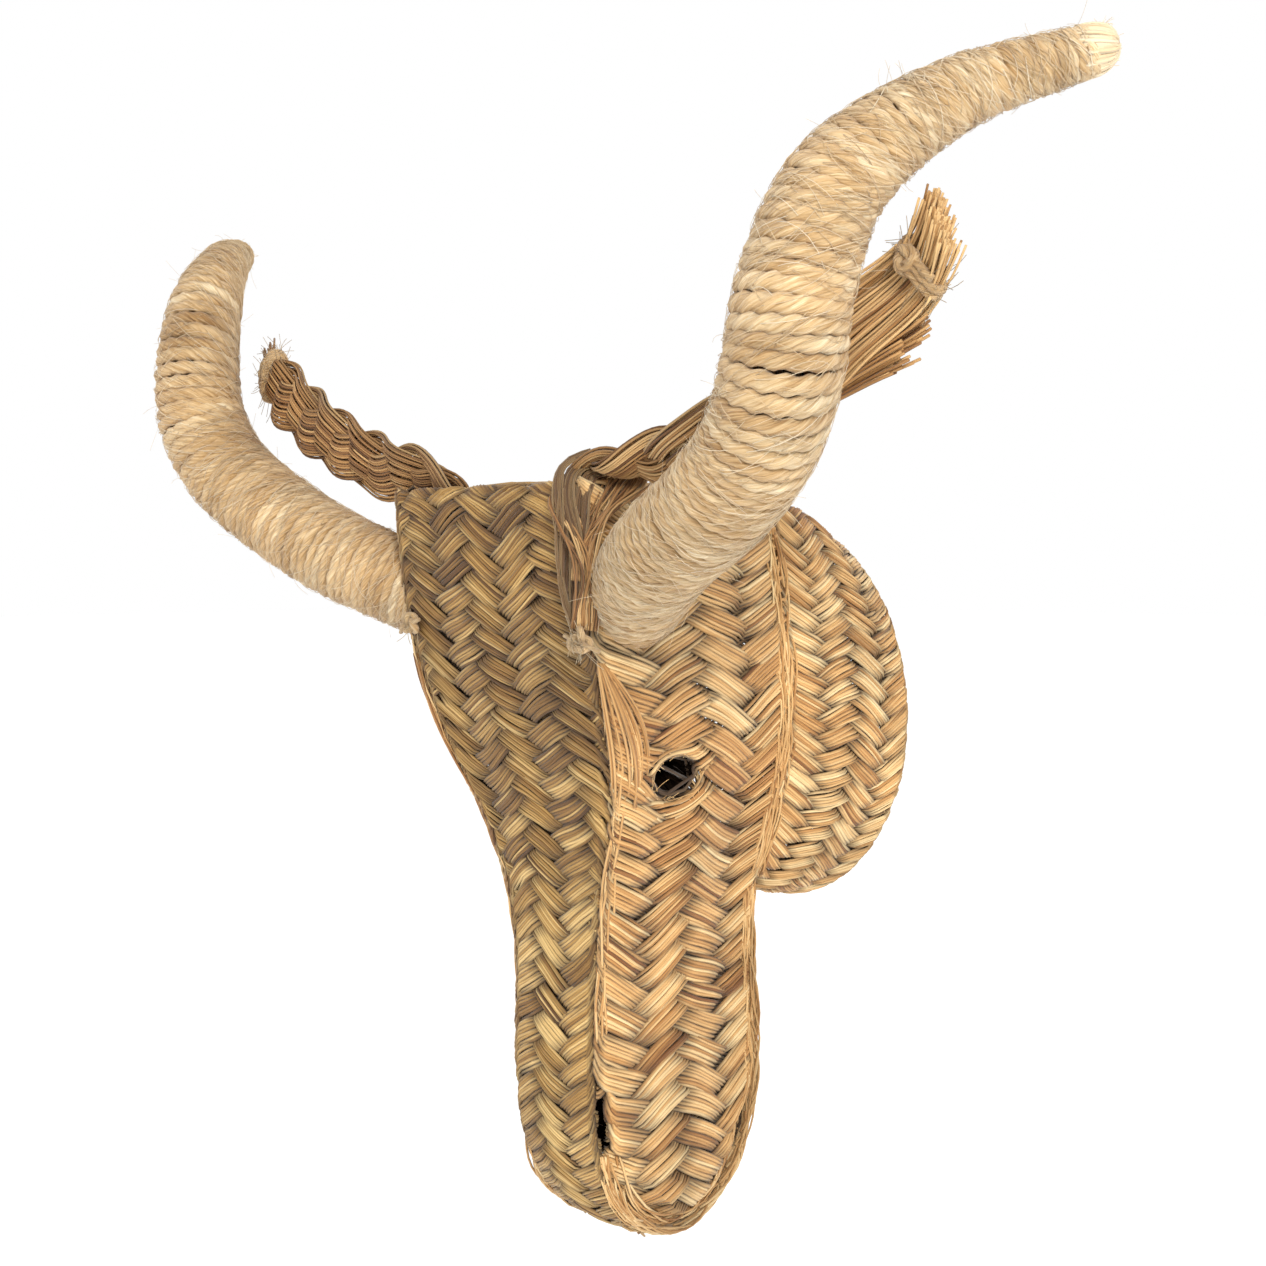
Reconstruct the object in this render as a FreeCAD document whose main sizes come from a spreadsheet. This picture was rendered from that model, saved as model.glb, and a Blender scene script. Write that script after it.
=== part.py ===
"""Hollow wall trophy head sewn from flat straw plaits, with cord-wrapped horns and strap ears.

Millimetres. The wall is the plane Y = 0 and the face looks along -Y. +X is the head's own left
side, which a viewer in front sees on the right. The origin is in the open back rim at its top,
where a nail holds the head on the wall, and +Z is up.
"""
import FreeCAD
import Part
import math
import os
from FreeCAD import Placement, Rotation, Vector

SIDES = {"left": -1, "right": 1}

# Driving dimensions. Each row is one horizontal station of the head, from the crown down:
# its level, the brow seam, the bulging corner beside it, and the rear edge of the face plait.
STATION_FIELDS = ("level", "seam_x", "seam_y", "corner_x", "corner_y", "rear_x", "rear_y")
STATIONS = {
    "crown": (9, 56, -191, 61, -187, 52, -70),
    "brow": (-42, 57, -184, 62, -180, 61, -72),
    "temple": (-73, 54, -175, 63, -170, 65, -73),
    "eye": (-98, 50, -166, 59, -161, 61, -69),
    "cheek": (-128, 38, -155, 46, -151, 46, -60),
    "neck": (-160, 28, -150, 34, -146, 29, -52),
    "bridge": (-190, 24.5, -149, 29, -145, 25, -50),
    "lip": (-232, 24.5, -150, 29, -146, 24, -47),
    "chin": (-310, 24.5, -150, 29, -146, 24, -47),
}
UPPER_STATIONS = ("crown", "brow", "temple", "eye", "cheek", "neck")

PLAIN = {
    "plait_thickness": 6,
    "seam_gap": 3.2,
    "seam_cord_radius": 1.25,
    "rim_half_width": 75,
    "rim_half_height": 89,
    "muzzle_centre_y": -98.5,
    "muzzle_centre_z": -240,
    "muzzle_half_depth": 51.5,
    "muzzle_half_drop": 68,
    "eye_y": -134,
    "eye_z": -107,
    "eye_half_width": 13,
    "eye_half_height": 10.5,
    "slit_top": -232,
    "slit_bottom": -267,
    "slit_depth": 6,
    "wire_radius": 1.6,
    "cord_thickness": 4.8,
    "fit_clearance": 0.3,
    "horn_radius": 20,
    "horn_tip_height": 9,
    "binding_radius": 5.5,
    "binding_length": 22,
    "ear_half_width": 11.5,
    "ear_half_thickness": 5.5,
    "ear_tie_radius": 2.4,
    "knot_radius": 5,
}

# The horn's centreline, given for the +X horn: out of the brow, up, then out and back. The last
# value of each row is the horn's radius there as a share of the full radius.
HORN_LINE = (
    (62, -164, -34, 0.97),
    (99, -186, -17, 0.98),
    (134, -195, 1, 0.99),
    (162, -204, 21, 1.0),
    (176, -210, 44, 1.0),
    (182, -210, 70, 0.96),
    (192, -200, 102, 0.84),
    (217, -175, 128, 0.60),
    (250, -146, 142, 0.42),
)
# Each horn's wire goes on through the brow to just past the middle of the head, where the two
# wires lie one above the other in a binding.
WIRE_INSIDE = ((-14, -138, -49), (0, -138, -49), (14, -138.5, -49), (36, -147, -44))

# Strap ears: root on the crown, then out beside the horn. They were made by hand and differ. The
# last value of each row is how far the strap is turned down from upright, in degrees.
EAR_LINES = {
    "right": (
        (48, -174, 15.5, 90),
        (76, -175, 17, 65),
        (108, -176, 22, 35),
        (142, -175, 38, 15),
        (175, -174, 57, 0),
        (203, -174, 74, 0),
    ),
    "left": (
        (48, -174, 15.5, 90),
        (78, -179, 22, 50),
        (110, -183, 36, 20),
        (138, -182, 51, 0),
        (164, -179, 68, 0),
    ),
}
EAR_TIPS = {"right": (221, -180, 91), "left": (184, -168, 89)}


def make_sheet(document):
    """Puts every driving dimension in the spreadsheet, one aliased cell each."""
    sheet = document.addObject("Spreadsheet::Sheet", "Dimensions")
    values = dict(PLAIN)
    for name, row in STATIONS.items():
        for field, value in zip(STATION_FIELDS, row):
            values[f"{name}_{field}"] = value
    for row, (alias, value) in enumerate(values.items(), start=1):
        sheet.set(f"A{row}", alias)
        sheet.set(f"B{row}", str(value))
        sheet.setAlias(f"B{row}", alias)
    document.recompute()
    return sheet


doc = FreeCAD.newDocument("StrawTrophyHead")
sheet = make_sheet(doc)


def size(alias):
    """A driving dimension, read back from the spreadsheet."""
    return float(sheet.get(alias))


def station(name):
    """The values of one horizontal station, as a dictionary."""
    return {field: size(f"{name}_{field}") for field in STATION_FIELDS}


def new_body(label):
    body = doc.addObject("PartDesign::Body", label.replace("_", " ").title().replace(" ", ""))
    body.Label = label
    return body


def base_plane(body, role):
    return next(item for item in body.Origin.OriginFeatures if item.Role == role)


def plane_placement(origin, along, normal):
    """The placement of a section plane whose local X runs along the first direction."""
    x_axis = Vector(along).normalize()
    z_axis = Vector(normal)
    z_axis = (z_axis - x_axis * z_axis.dot(x_axis)).normalize()
    y_axis = z_axis.cross(x_axis)
    return Placement(Vector(origin), Rotation(x_axis, y_axis, z_axis, "ZXY"))


def section_sketch(body, name, placement):
    """An empty sketch attached to the body's XY plane and moved to a section's own plane."""
    sketch = body.newObject("Sketcher::SketchObject", name)
    sketch.AttachmentSupport = [(base_plane(body, "XY_Plane"), "")]
    sketch.MapMode = "FlatFace"
    sketch.AttachmentOffset = placement
    return sketch


def add_polygon(sketch, points):
    """A closed outline of straight lines in the sketch's own plane."""
    corners = [Vector(x, y, 0) for x, y in points]
    for start, end in zip(corners, corners[1:] + corners[:1]):
        sketch.addGeometry(Part.LineSegment(start, end), False)


def add_loft(body, name, sketches, ruled):
    loft = body.newObject("PartDesign::AdditiveLoft", name)
    loft.Profile = sketches[0]
    loft.Sections = [(sketch, [""]) for sketch in sketches[1:]]
    loft.Ruled = ruled
    body.Tip = loft
    return loft


def polygon_loft(body, sections, ruled=True, level_aliases=None):
    """Lofts a body through polygons, each given as a placement and its points."""
    sketches = []
    for index, (placement, points) in enumerate(sections):
        sketch = section_sketch(body, f"Section{index}", placement)
        add_polygon(sketch, points)
        if level_aliases:
            sketch.setExpression("AttachmentOffset.Base.z", f"Dimensions.{level_aliases[index]}")
        sketches.append(sketch)
    add_loft(body, "Plait", sketches, ruled)
    return body


def unit(vector):
    return Vector(vector).normalize()


def offset_chain(points, distance):
    """Moves an open chain of points sideways by a distance, to the left of its direction."""
    moved = []
    normals = []
    for start, end in zip(points, points[1:]):
        way = unit(end - start)
        normals.append(Vector(-way.y, way.x, 0))
    for index, point in enumerate(points):
        before = normals[max(index - 1, 0)]
        after = normals[min(index, len(normals) - 1)]
        moved.append(point + (before + after) * (distance / (1 + before.dot(after))))
    return moved


def shorten(first, second, distance):
    """A point the distance along the way from the first point to the second."""
    return first + unit(second - first) * distance


def face_chain(name):
    """Outside and inside corners round the head at one station, from the middle of the brow."""
    values = station(name)
    seam = Vector(values["seam_x"], values["seam_y"], 0)
    corner = Vector(values["corner_x"], values["corner_y"], 0)
    rear = Vector(values["rear_x"], values["rear_y"], 0)
    chain = [Vector(0, seam.y, 0), seam, corner, rear]
    if name in UPPER_STATIONS:
        drop = (values["level"] + size("rim_half_height")) / size("rim_half_height")
        rim_x = size("rim_half_width") * math.sqrt(max(0.0, 1 - drop * drop))
        chain.append(Vector(max(rim_x, rear.x * 0.75), 0, 0))
    return chain, offset_chain(chain, size("plait_thickness"))


def face_section(name):
    """The closed outline of the +X face plait at one station."""
    chain, inner = face_chain(name)
    half_gap = size("seam_gap") / 2
    outline = [
        shorten(chain[1], chain[2], half_gap),
        chain[2],
        shorten(chain[3], chain[2], half_gap),
        shorten(inner[3], inner[2], half_gap),
        inner[2],
        shorten(inner[1], inner[2], half_gap),
    ]
    return [(point.x, point.y) for point in outline]


def seam_middle(name, index):
    """The middle of a seam at one station: index 1 is the brow seam and 3 the jaw seam."""
    chain, inner = face_chain(name)
    middle = (chain[index] + inner[index]) / 2
    return Vector(middle.x, middle.y, size(f"{name}_level"))


def muzzle_point(angle):
    """A point of the muzzle's rounded end in side view, from the nose (180) to the throat (360)."""
    turn = math.radians(angle)
    return Vector(
        0,
        size("muzzle_centre_y") + size("muzzle_half_depth") * math.cos(turn),
        size("muzzle_centre_z") + size("muzzle_half_drop") * math.sin(turn),
    )


def pocket_through(body, sketch, name):
    """Cuts a sketch's area through the body, both ways from the sketch."""
    pocket = body.newObject("PartDesign::Pocket", name)
    pocket.Profile = sketch
    pocket.Midplane = True
    pocket.Length = 400
    body.Tip = pocket
    return pocket


def side_sketch(body, name):
    """A sketch on the body's YZ plane, whose axes are the head's Y and Z."""
    sketch = body.newObject("Sketcher::SketchObject", name)
    sketch.AttachmentSupport = [(base_plane(body, "YZ_Plane"), "")]
    sketch.MapMode = "FlatFace"
    return sketch


def add_ellipse_arc(sketch, centre, half_y, half_z, start, end):
    """An arc of an upright ellipse whose longer half axis lies along Z."""
    major = Vector(centre.x, centre.y + half_z, 0)
    minor = Vector(centre.x - half_y, centre.y, 0)
    ellipse = Part.Ellipse(major, minor, centre)
    sketch.addGeometry(Part.ArcOfEllipse(ellipse, start, end), False)


def trim_muzzle_end(body):
    """Rounds the face plait's lower end to the outline of the strip that wraps the muzzle."""
    sketch = side_sketch(body, "MuzzleOutline")
    inset = size("fit_clearance")
    half_y = size("muzzle_half_depth") - inset
    half_z = size("muzzle_half_drop") - inset
    centre = Vector(size("muzzle_centre_y"), size("muzzle_centre_z"), 0)
    add_ellipse_arc(sketch, centre, half_y, half_z, math.pi / 2, math.pi * 1.5)
    reach = 40
    floor = centre.y - half_z - reach
    front = centre.x - half_y
    back = centre.x + half_y
    points = [
        Vector(front, centre.y, 0),
        Vector(front - reach, centre.y, 0),
        Vector(front - reach, floor, 0),
        Vector(back + reach, floor, 0),
        Vector(back + reach, centre.y, 0),
        Vector(back, centre.y, 0),
    ]
    for start, end in zip(points, points[1:]):
        sketch.addGeometry(Part.LineSegment(start, end), False)
    pocket_through(body, sketch, "MuzzleEnd")


def cut_eye(body):
    sketch = side_sketch(body, "EyeOutline")
    centre = Vector(size("eye_y"), size("eye_z"), 0)
    half_y = size("eye_half_width")
    half_z = size("eye_half_height")
    ellipse = Part.Ellipse(centre + Vector(half_y, 0, 0), centre + Vector(0, half_z, 0), centre)
    sketch.addGeometry(ellipse, False)
    pocket_through(body, sketch, "Eye")


def cut_slit(body):
    """Cuts the unsewn slit beside the nose out of the face plait's front edge."""
    sketch = side_sketch(body, "SlitOutline")
    front = size("lip_seam_y")
    clear = front - size("plait_thickness")
    top = Vector(front, size("slit_top"), 0)
    bottom = Vector(front + 4, size("slit_bottom"), 0)
    deep = (top + bottom) / 2 + Vector(size("slit_depth"), 0, 0)
    sketch.addGeometry(Part.Arc(top, deep, bottom), False)
    outside = [bottom, Vector(clear, bottom.y, 0), Vector(clear, top.y, 0), top]
    for start, end in zip(outside, outside[1:]):
        sketch.addGeometry(Part.LineSegment(start, end), False)
    pocket_through(body, sketch, "Slit")


def face_braid(label):
    """Side of the face from the crown to the muzzle, with the eye hole and the slit."""
    body = new_body(label)
    upright = Rotation()
    sections = []
    for name in STATIONS:
        placement = Placement(Vector(0, 0, size(f"{name}_level")), upright)
        sections.append((placement, face_section(name)))
    polygon_loft(body, sections, level_aliases=[f"{name}_level" for name in STATIONS])
    doc.recompute()
    trim_muzzle_end(body)
    cut_eye(body)
    cut_slit(body)
    return body


def strip_section(point, way, outer_half, inner_half):
    """A cross section of the strip that runs down the nose and round the muzzle."""
    placement = plane_placement(point, Vector(1, 0, 0), way)
    thickness = size("plait_thickness")
    inward = placement.Rotation.multVec(Vector(0, 1, 0))
    centre = Vector(0, size("muzzle_centre_y"), point.z)
    if point.z < size("lip_level"):
        centre = Vector(0, size("muzzle_centre_y"), size("muzzle_centre_z"))
    turn = 1 if inward.dot(centre - point) > 0 else -1
    points = [
        (-outer_half, 0),
        (outer_half, 0),
        (inner_half, turn * thickness),
        (-inner_half, turn * thickness),
    ]
    return placement, points


def strip_loft(label, line, widths, first_way, last_way):
    """A strip through the points of its middle line, given its half widths outside and inside."""
    body = new_body(label)
    sections = []
    for index, point in enumerate(line):
        way = first_way if index == 0 else last_way
        if 0 < index < len(line) - 1:
            way = line[index + 1] - line[index - 1]
        sections.append(strip_section(point, way, *widths[index]))
    return polygon_loft(body, sections)


def muzzle_way(angle):
    return muzzle_point(angle + 1) - muzzle_point(angle - 1)


def front_braid(label):
    """Forehead, nose and the front half of the muzzle's rounded end, in one strip."""
    half_gap = size("seam_gap") / 2
    line = []
    widths = []
    for name in STATIONS:
        if name == "chin":
            continue
        chain, inner = face_chain(name)
        line.append(Vector(0, chain[1].y, size(f"{name}_level")))
        widths.append((chain[1].x - half_gap, inner[1].x - half_gap))
    end_angles = (195, 213, 231, 249, 264)
    line += [muzzle_point(angle) for angle in end_angles]
    widths += [(21, 19.5), (20.5, 19.5), (20, 19.5), (19.5, 19.5), (19.3, 19.3)]
    return strip_loft(label, line, widths, Vector(0, 0, -1), muzzle_way(end_angles[-1]))


def chin_braid(label):
    """Rear half of the muzzle's rounded end and the back of the muzzle up to the throat."""
    angles = (265, 282, 300, 318, 337, 357)
    line = [muzzle_point(angle) for angle in angles]
    line.append(Vector(0, size("bridge_rear_y"), size("bridge_level")))
    line.append(Vector(0, size("neck_rear_y") + 1, size("neck_level") - 6))
    halves = (19.3, 19, 18.6, 18.2, 17.8, 17.4, 17.4, 18.5)
    widths = [(half, half) for half in halves]
    return strip_loft(label, line, widths, muzzle_way(angles[0]), Vector(0, 0, 1))


# The collar plait's sections: the rim's angle from its top, and the point of the face plait's
# rear edge that it is sewn to, all for the +X side.
COLLAR_SECTIONS = (
    (24, (52, -70, 9)),
    (45, (57, -71, -16)),
    (70, (62.5, -72.5, -50)),
    (90, (64, -71.5, -80)),
    (112, (56, -66, -109)),
    (132, (42, -58, -134)),
    (150, (28, -52, -153)),
    (165, (15, -50, -161)),
    (179.7, (0.3, -50, -162)),
)


def rim_point(angle):
    turn = math.radians(angle)
    return Vector(
        size("rim_half_width") * math.sin(turn),
        0,
        size("rim_half_height") * (math.cos(turn) - 1),
    )


def rim_inward(angle):
    """The direction square to the rim, in the wall's plane, towards the middle of the head."""
    turn = math.radians(angle)
    return unit(
        Vector(
            -math.sin(turn) / size("rim_half_width"), 0, -math.cos(turn) / size("rim_half_height")
        )
    )


def collar_braid(label):
    """Plait from the face's rear edge back to the rim on the wall, from crown to throat."""
    body = new_body(label)
    thickness = size("plait_thickness")
    sections = []
    for angle, joint in COLLAR_SECTIONS:
        rim = rim_point(angle)
        inward = rim_inward(angle)
        start = shorten(Vector(*joint), rim, size("seam_gap") / 2)
        corners = [start, rim, rim + inward * thickness, start + inward * thickness]
        along = corners[1] - corners[0]
        across = corners[3] - corners[0]
        placement = plane_placement(corners[0], along, along.cross(across))
        back = placement.inverse()
        points = [(back.multVec(corner).x, back.multVec(corner).y) for corner in corners]
        sections.append((placement, points))
    return polygon_loft(body, sections)


def crown_braid(label):
    """Slightly arched plait that closes the top between the forehead and the rim."""
    body = new_body(label)
    thickness = size("plait_thickness")
    front = size("crown_seam_y") + thickness + 8 * size("fit_clearance")
    rows = (
        (front, 53.5, 8.5, 12),
        (-130, 49.5, 8.5, 15),
        (-72, 44, 8, 14),
        (-36, 37, 1, 10),
        (0, 28.5, -6.8, 3),
    )
    sections = []
    for y, half, edge_z, middle_z in rows:
        chain = [Vector(half, edge_z, 0), Vector(0, middle_z, 0), Vector(-half, edge_z, 0)]
        inner = offset_chain(chain, thickness)
        inner[0].x = half - 1.5
        inner[2].x = 1.5 - half
        placement = Placement(Vector(0, y, 0), Rotation(Vector(1, 0, 0), 90))
        sections.append((placement, [(point.x, point.y) for point in chain + inner[::-1]]))
    return polygon_loft(body, sections)


def tangents(points):
    ways = []
    for index in range(len(points)):
        before = points[max(index - 1, 0)]
        after = points[min(index + 1, len(points) - 1)]
        ways.append(unit(after - before))
    return ways


def round_loft(body, name, points, radii, ruled=False):
    """A round tapering rod through the points, square to its line at each."""
    sketches = []
    for index, (point, way, radius) in enumerate(zip(points, tangents(points), radii)):
        placement = plane_placement(point, Vector(0, 1, 0) - way * way.y, way)
        sketch = section_sketch(body, f"{name}Section{index}", placement)
        sketch.addGeometry(Part.Circle(Vector(0, 0, 0), Vector(0, 0, 1), radius), False)
        sketches.append(sketch)
    add_loft(body, name, sketches, ruled)


def horn_line():
    return [Vector(x, y, z) for x, y, z, share in HORN_LINE]


def horn_radii(inset=0.0):
    return [share * size("horn_radius") - inset for x, y, z, share in HORN_LINE]


def brow_envelope():
    """A prism that follows the head's outside round the horn roots, which the horns fit to."""
    body = new_body("brow_envelope_outline")
    clearance = 2 * size("fit_clearance")
    brow = station("brow")
    crown = station("crown")
    lean = Vector(0, crown["seam_y"] - brow["seam_y"], crown["level"] - brow["level"])
    half = [
        (brow["seam_x"] + clearance, brow["seam_y"] - clearance),
        (brow["corner_x"] + clearance, brow["corner_y"] - clearance),
        (brow["rear_x"] + clearance, brow["rear_y"]),
    ]
    placement = Placement(Vector(0, 0, brow["level"]), Rotation())
    outline = section_sketch(body, "BrowOutline", placement)
    add_polygon(outline, half + [(-x, y) for x, y in reversed(half)])
    prism = doc.addObject("Part::Extrusion", "BrowEnvelope")
    prism.Base = outline
    prism.DirMode = "Custom"
    prism.Dir = unit(lean)
    prism.LengthFwd = 75
    prism.LengthRev = 25
    prism.Solid = True
    return prism


def cut_from(label, base, tool):
    """The first object with the second cut away, under the sub-part's own name."""
    cut = doc.addObject("Part::Cut", label.replace("_", " ").title().replace(" ", ""))
    cut.Base = base
    cut.Tool = tool
    cut.Label = label
    return cut


def horn_rod(label, inset):
    """A solid rod along the horn, thinner than the horn by the inset all round."""
    body = new_body(label)
    round_loft(body, "Rod", horn_line(), horn_radii(inset))
    return body


def horn_wrap(label, envelope):
    """Sleeve of cord turns wound round the horn's core."""
    trimmed = cut_from(f"{label}_trimmed", horn_rod(f"{label}_blank", 0), envelope)
    return cut_from(label, trimmed, horn_rod(f"{label}_bore", size("cord_thickness")))


def horn_core(label, envelope, wire_bore):
    """Bundle of straw that gives the horn its thickness, round the bent wire."""
    inset = size("cord_thickness") + size("fit_clearance")
    trimmed = cut_from(f"{label}_trimmed", horn_rod(f"{label}_blank", inset), envelope)
    return cut_from(label, trimmed, wire_bore)


def horn_wire(label, rise, radius):
    """Bent wire that stiffens the +X horn and runs to the middle of the head, raised a little."""
    body = new_body(label)
    lift = rise * (size("wire_radius") + size("fit_clearance") / 2)
    points = [Vector(x, y, z + (lift if x < 20 else 0)) for x, y, z in WIRE_INSIDE] + horn_line()
    round_loft(body, "Wire", points, [radius] * len(points), ruled=True)
    return body


def wire_binding(label, left_bore, right_bore):
    """Cord wound round the two wires where they overlap inside the head."""
    rod = doc.addObject("Part::Cylinder", "BindingBlank")
    rod.setExpression("Radius", "Dimensions.binding_radius")
    rod.setExpression("Height", "Dimensions.binding_length")
    middle = Vector(*WIRE_INSIDE[1])
    start = middle - Vector(size("binding_length") / 2, 0, 0)
    rod.Placement = Placement(start, Rotation(Vector(0, 0, 1), Vector(1, 0, 0)))
    first = cut_from("binding_first_bore", rod, left_bore)
    return cut_from(label, first, right_bore)


def horn_tip(label):
    """Rounded end of the cord winding, past the last turn."""
    line = horn_line()
    way = tangents(line)[-1]
    cone = doc.addObject("Part::Cone", label.replace("_", "") + "Blank")
    cone.setExpression("Radius1", f"Dimensions.horn_radius * {HORN_LINE[-1][3]}")
    cone.setExpression("Radius2", "Dimensions.horn_radius * 0.28")
    cone.setExpression("Height", "Dimensions.horn_tip_height")
    cone.Placement = Placement(line[-1], Rotation(Vector(0, 0, 1), way))
    doc.recompute()
    rounded = doc.addObject("Part::Fillet", label.replace("_", ""))
    rounded.Base = cone
    top = max(
        range(len(cone.Shape.Edges)),
        key=lambda index: (cone.Shape.Edges[index].CenterOfMass - line[-1]).dot(way),
    )
    rounded.Edges = [(top + 1, 3.5, 3.5)]
    rounded.Label = label
    return rounded


def strap_section(point, way, half_width, half_thickness, turn=0):
    """A flat eight-sided section of an ear strap, its width upright before it is turned down."""
    upward = Vector(0, 0, 1) - way * way.z
    upward = Rotation(way, turn).multVec(upward)
    placement = plane_placement(point, upward, way)
    cut_width = half_width * 0.7
    cut_thickness = half_thickness * 0.45
    corner = [
        (half_width, cut_thickness),
        (cut_width, half_thickness),
        (-cut_width, half_thickness),
        (-half_width, cut_thickness),
    ]
    return placement, corner + [(-x, -y) for x, y in corner]


def ear_line(name):
    """The strap's points with the tuft's tip last, and the strap's way at each."""
    side = SIDES[name]
    rows = [row[:3] for row in EAR_LINES[name]] + [EAR_TIPS[name]]
    points = [Vector(side * x, y, z) for x, y, z in rows]
    return points, tangents(points)


def ear_strap(label, name):
    """Plaited strap sewn to the crown by its root."""
    body = new_body(label)
    points, ways = ear_line(name)
    turns = [SIDES[name] * row[3] for row in EAR_LINES[name]]
    sections = []
    for index, turn in enumerate(turns):
        share = 0.85 if index in (0, len(turns) - 1) else 1.0
        width = size("ear_half_width") * share
        thickness = size("ear_half_thickness")
        sections.append(strap_section(points[index], ways[index], width, thickness, turn))
    return polygon_loft(body, sections, ruled=False)


def ear_tie(label, name):
    """Cord bound round the strap's end, ahead of the loose tuft."""
    points, ways = ear_line(name)
    way = ways[-2]
    ring = doc.addObject("Part::Cylinder", label.replace("_", ""))
    ring.setExpression("Radius", "Dimensions.ear_half_width * 0.8")
    ring.setExpression("Height", "Dimensions.ear_tie_radius * 2")
    start = points[-2] + way * size("fit_clearance")
    ring.Placement = Placement(start, Rotation(Vector(0, 0, 1), way))
    ring.Label = label
    return ring


def ear_tuft(label, name):
    """Loose straw ends past the tie."""
    body = new_body(label)
    points, ways = ear_line(name)
    start = points[-2] + ways[-2] * (2 * size("ear_tie_radius") + 2 * size("fit_clearance"))
    tip = points[-1]
    width = size("ear_half_width")
    rows = ((0.0, 0.6, 0.8, ways[-2]), (0.45, 0.95, 1.0, ways[-1]), (1.0, 1.0, 0.7, ways[-1]))
    sections = []
    for share, wide, thick, way in rows:
        point = start + (tip - start) * share
        sections.append(
            strap_section(point, way, width * wide, size("ear_half_thickness") * thick)
        )
    return polygon_loft(body, sections)


def seam_cord(label, points):
    """Stitching cord that lies in the gap between two plaits."""
    body = new_body(label)
    sketches = []
    for index, point in enumerate(points):
        sketch = section_sketch(body, f"Section{index}", Placement(point, Rotation()))
        circle = Part.Circle(Vector(0, 0, 0), Vector(0, 0, 1), size("seam_cord_radius"))
        sketch.addGeometry(circle, False)
        sketches.append(sketch)
    add_loft(body, "Cord", sketches, True)
    return body


def brow_seam(label):
    """Cord in the seam between the forehead strip and the face plait, down to the slit."""
    names = ("brow", "temple", "eye", "cheek", "neck", "bridge", "lip")
    points = [seam_middle(name, 1) for name in names]
    points[0] = points[0] * 0.8 + points[1] * 0.2
    return seam_cord(label, points)


def jaw_seam(label):
    """Cord in the seam between the face plait and the collar plait."""
    names = ("crown", "brow", "temple", "eye", "cheek")
    return seam_cord(label, [seam_middle(name, 3) for name in names])


def lashing_knot(label):
    """Knot of cord that ties the horn's root to the brow, under the horn."""
    knot = doc.addObject("Part::Ellipsoid", label.replace("_", ""))
    knot.setExpression("Radius1", "Dimensions.knot_radius * 0.9")
    knot.setExpression("Radius2", "Dimensions.knot_radius * 1.3")
    knot.setExpression("Radius3", "Dimensions.knot_radius")
    knot.Placement = Placement(Vector(56.5, -189.5, -56), Rotation())
    knot.Label = label
    return knot


def mirrored(label, source):
    """The -X twin of a +X piece."""
    twin = doc.addObject("Part::Mirroring", label.replace("_", ""))
    twin.Source = source
    twin.Normal = Vector(1, 0, 0)
    twin.Base = Vector(0, 0, 0)
    twin.Label = label
    return twin


def build():
    """Makes every sub-part and returns the objects that are written out."""
    envelope = brow_envelope()
    bore = size("wire_radius") + size("fit_clearance")
    right_bore = horn_wire("right_wire_bore", 1, bore)
    left_bore = mirrored("left_wire_bore", horn_wire("left_wire_bore_blank", -1, bore))
    parts = [
        front_braid("front_braid"),
        chin_braid("chin_braid"),
        crown_braid("crown_braid"),
        wire_binding("wire_binding", left_bore, right_bore),
        horn_wire("right_horn_wire", 1, size("wire_radius")),
        mirrored("left_horn_wire", horn_wire("left_wire_blank", -1, size("wire_radius"))),
    ]
    pairs = {
        "face_braid": cut_from("right_face_braid", face_braid("face_blank"), right_bore),
        "jaw_braid": collar_braid("right_jaw_braid"),
        "horn_wrap": horn_wrap("right_horn_wrap", envelope),
        "horn_core": horn_core("right_horn_core", envelope, right_bore),
        "horn_tip": horn_tip("right_horn_tip"),
        "brow_seam": brow_seam("right_brow_seam"),
        "jaw_seam": jaw_seam("right_jaw_seam"),
        "horn_knot": lashing_knot("right_horn_knot"),
    }
    for name, piece in pairs.items():
        parts += [piece, mirrored(f"left_{name}", piece)]
    for name in SIDES:
        parts += [
            ear_strap(f"{name}_ear_strap", name),
            ear_tie(f"{name}_ear_tie", name),
            ear_tuft(f"{name}_ear_tuft", name),
        ]
    doc.recompute()
    return parts


def write_parts(parts):
    """Checks every object of the document, then writes one STEP file for each sub-part."""
    for item in doc.Objects:
        if {"Invalid", "Error"} & set(item.State):
            raise RuntimeError(f"{item.Label} did not build: {item.State}")
    for item in parts:
        if item.Shape.isNull() or not item.Shape.isValid():
            raise RuntimeError(f"{item.Label} has no valid shape")
        if len(item.Shape.Solids) != 1:
            raise RuntimeError(f"{item.Label} has {len(item.Shape.Solids)} solids")
    os.makedirs("parts", exist_ok=True)
    for item in parts:
        item.Shape.exportStep(f"parts/{item.Label}.step")
        print(f"{item.Label}: {item.Shape.Volume / 1000:.1f} cm3")


write_parts(build())
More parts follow.
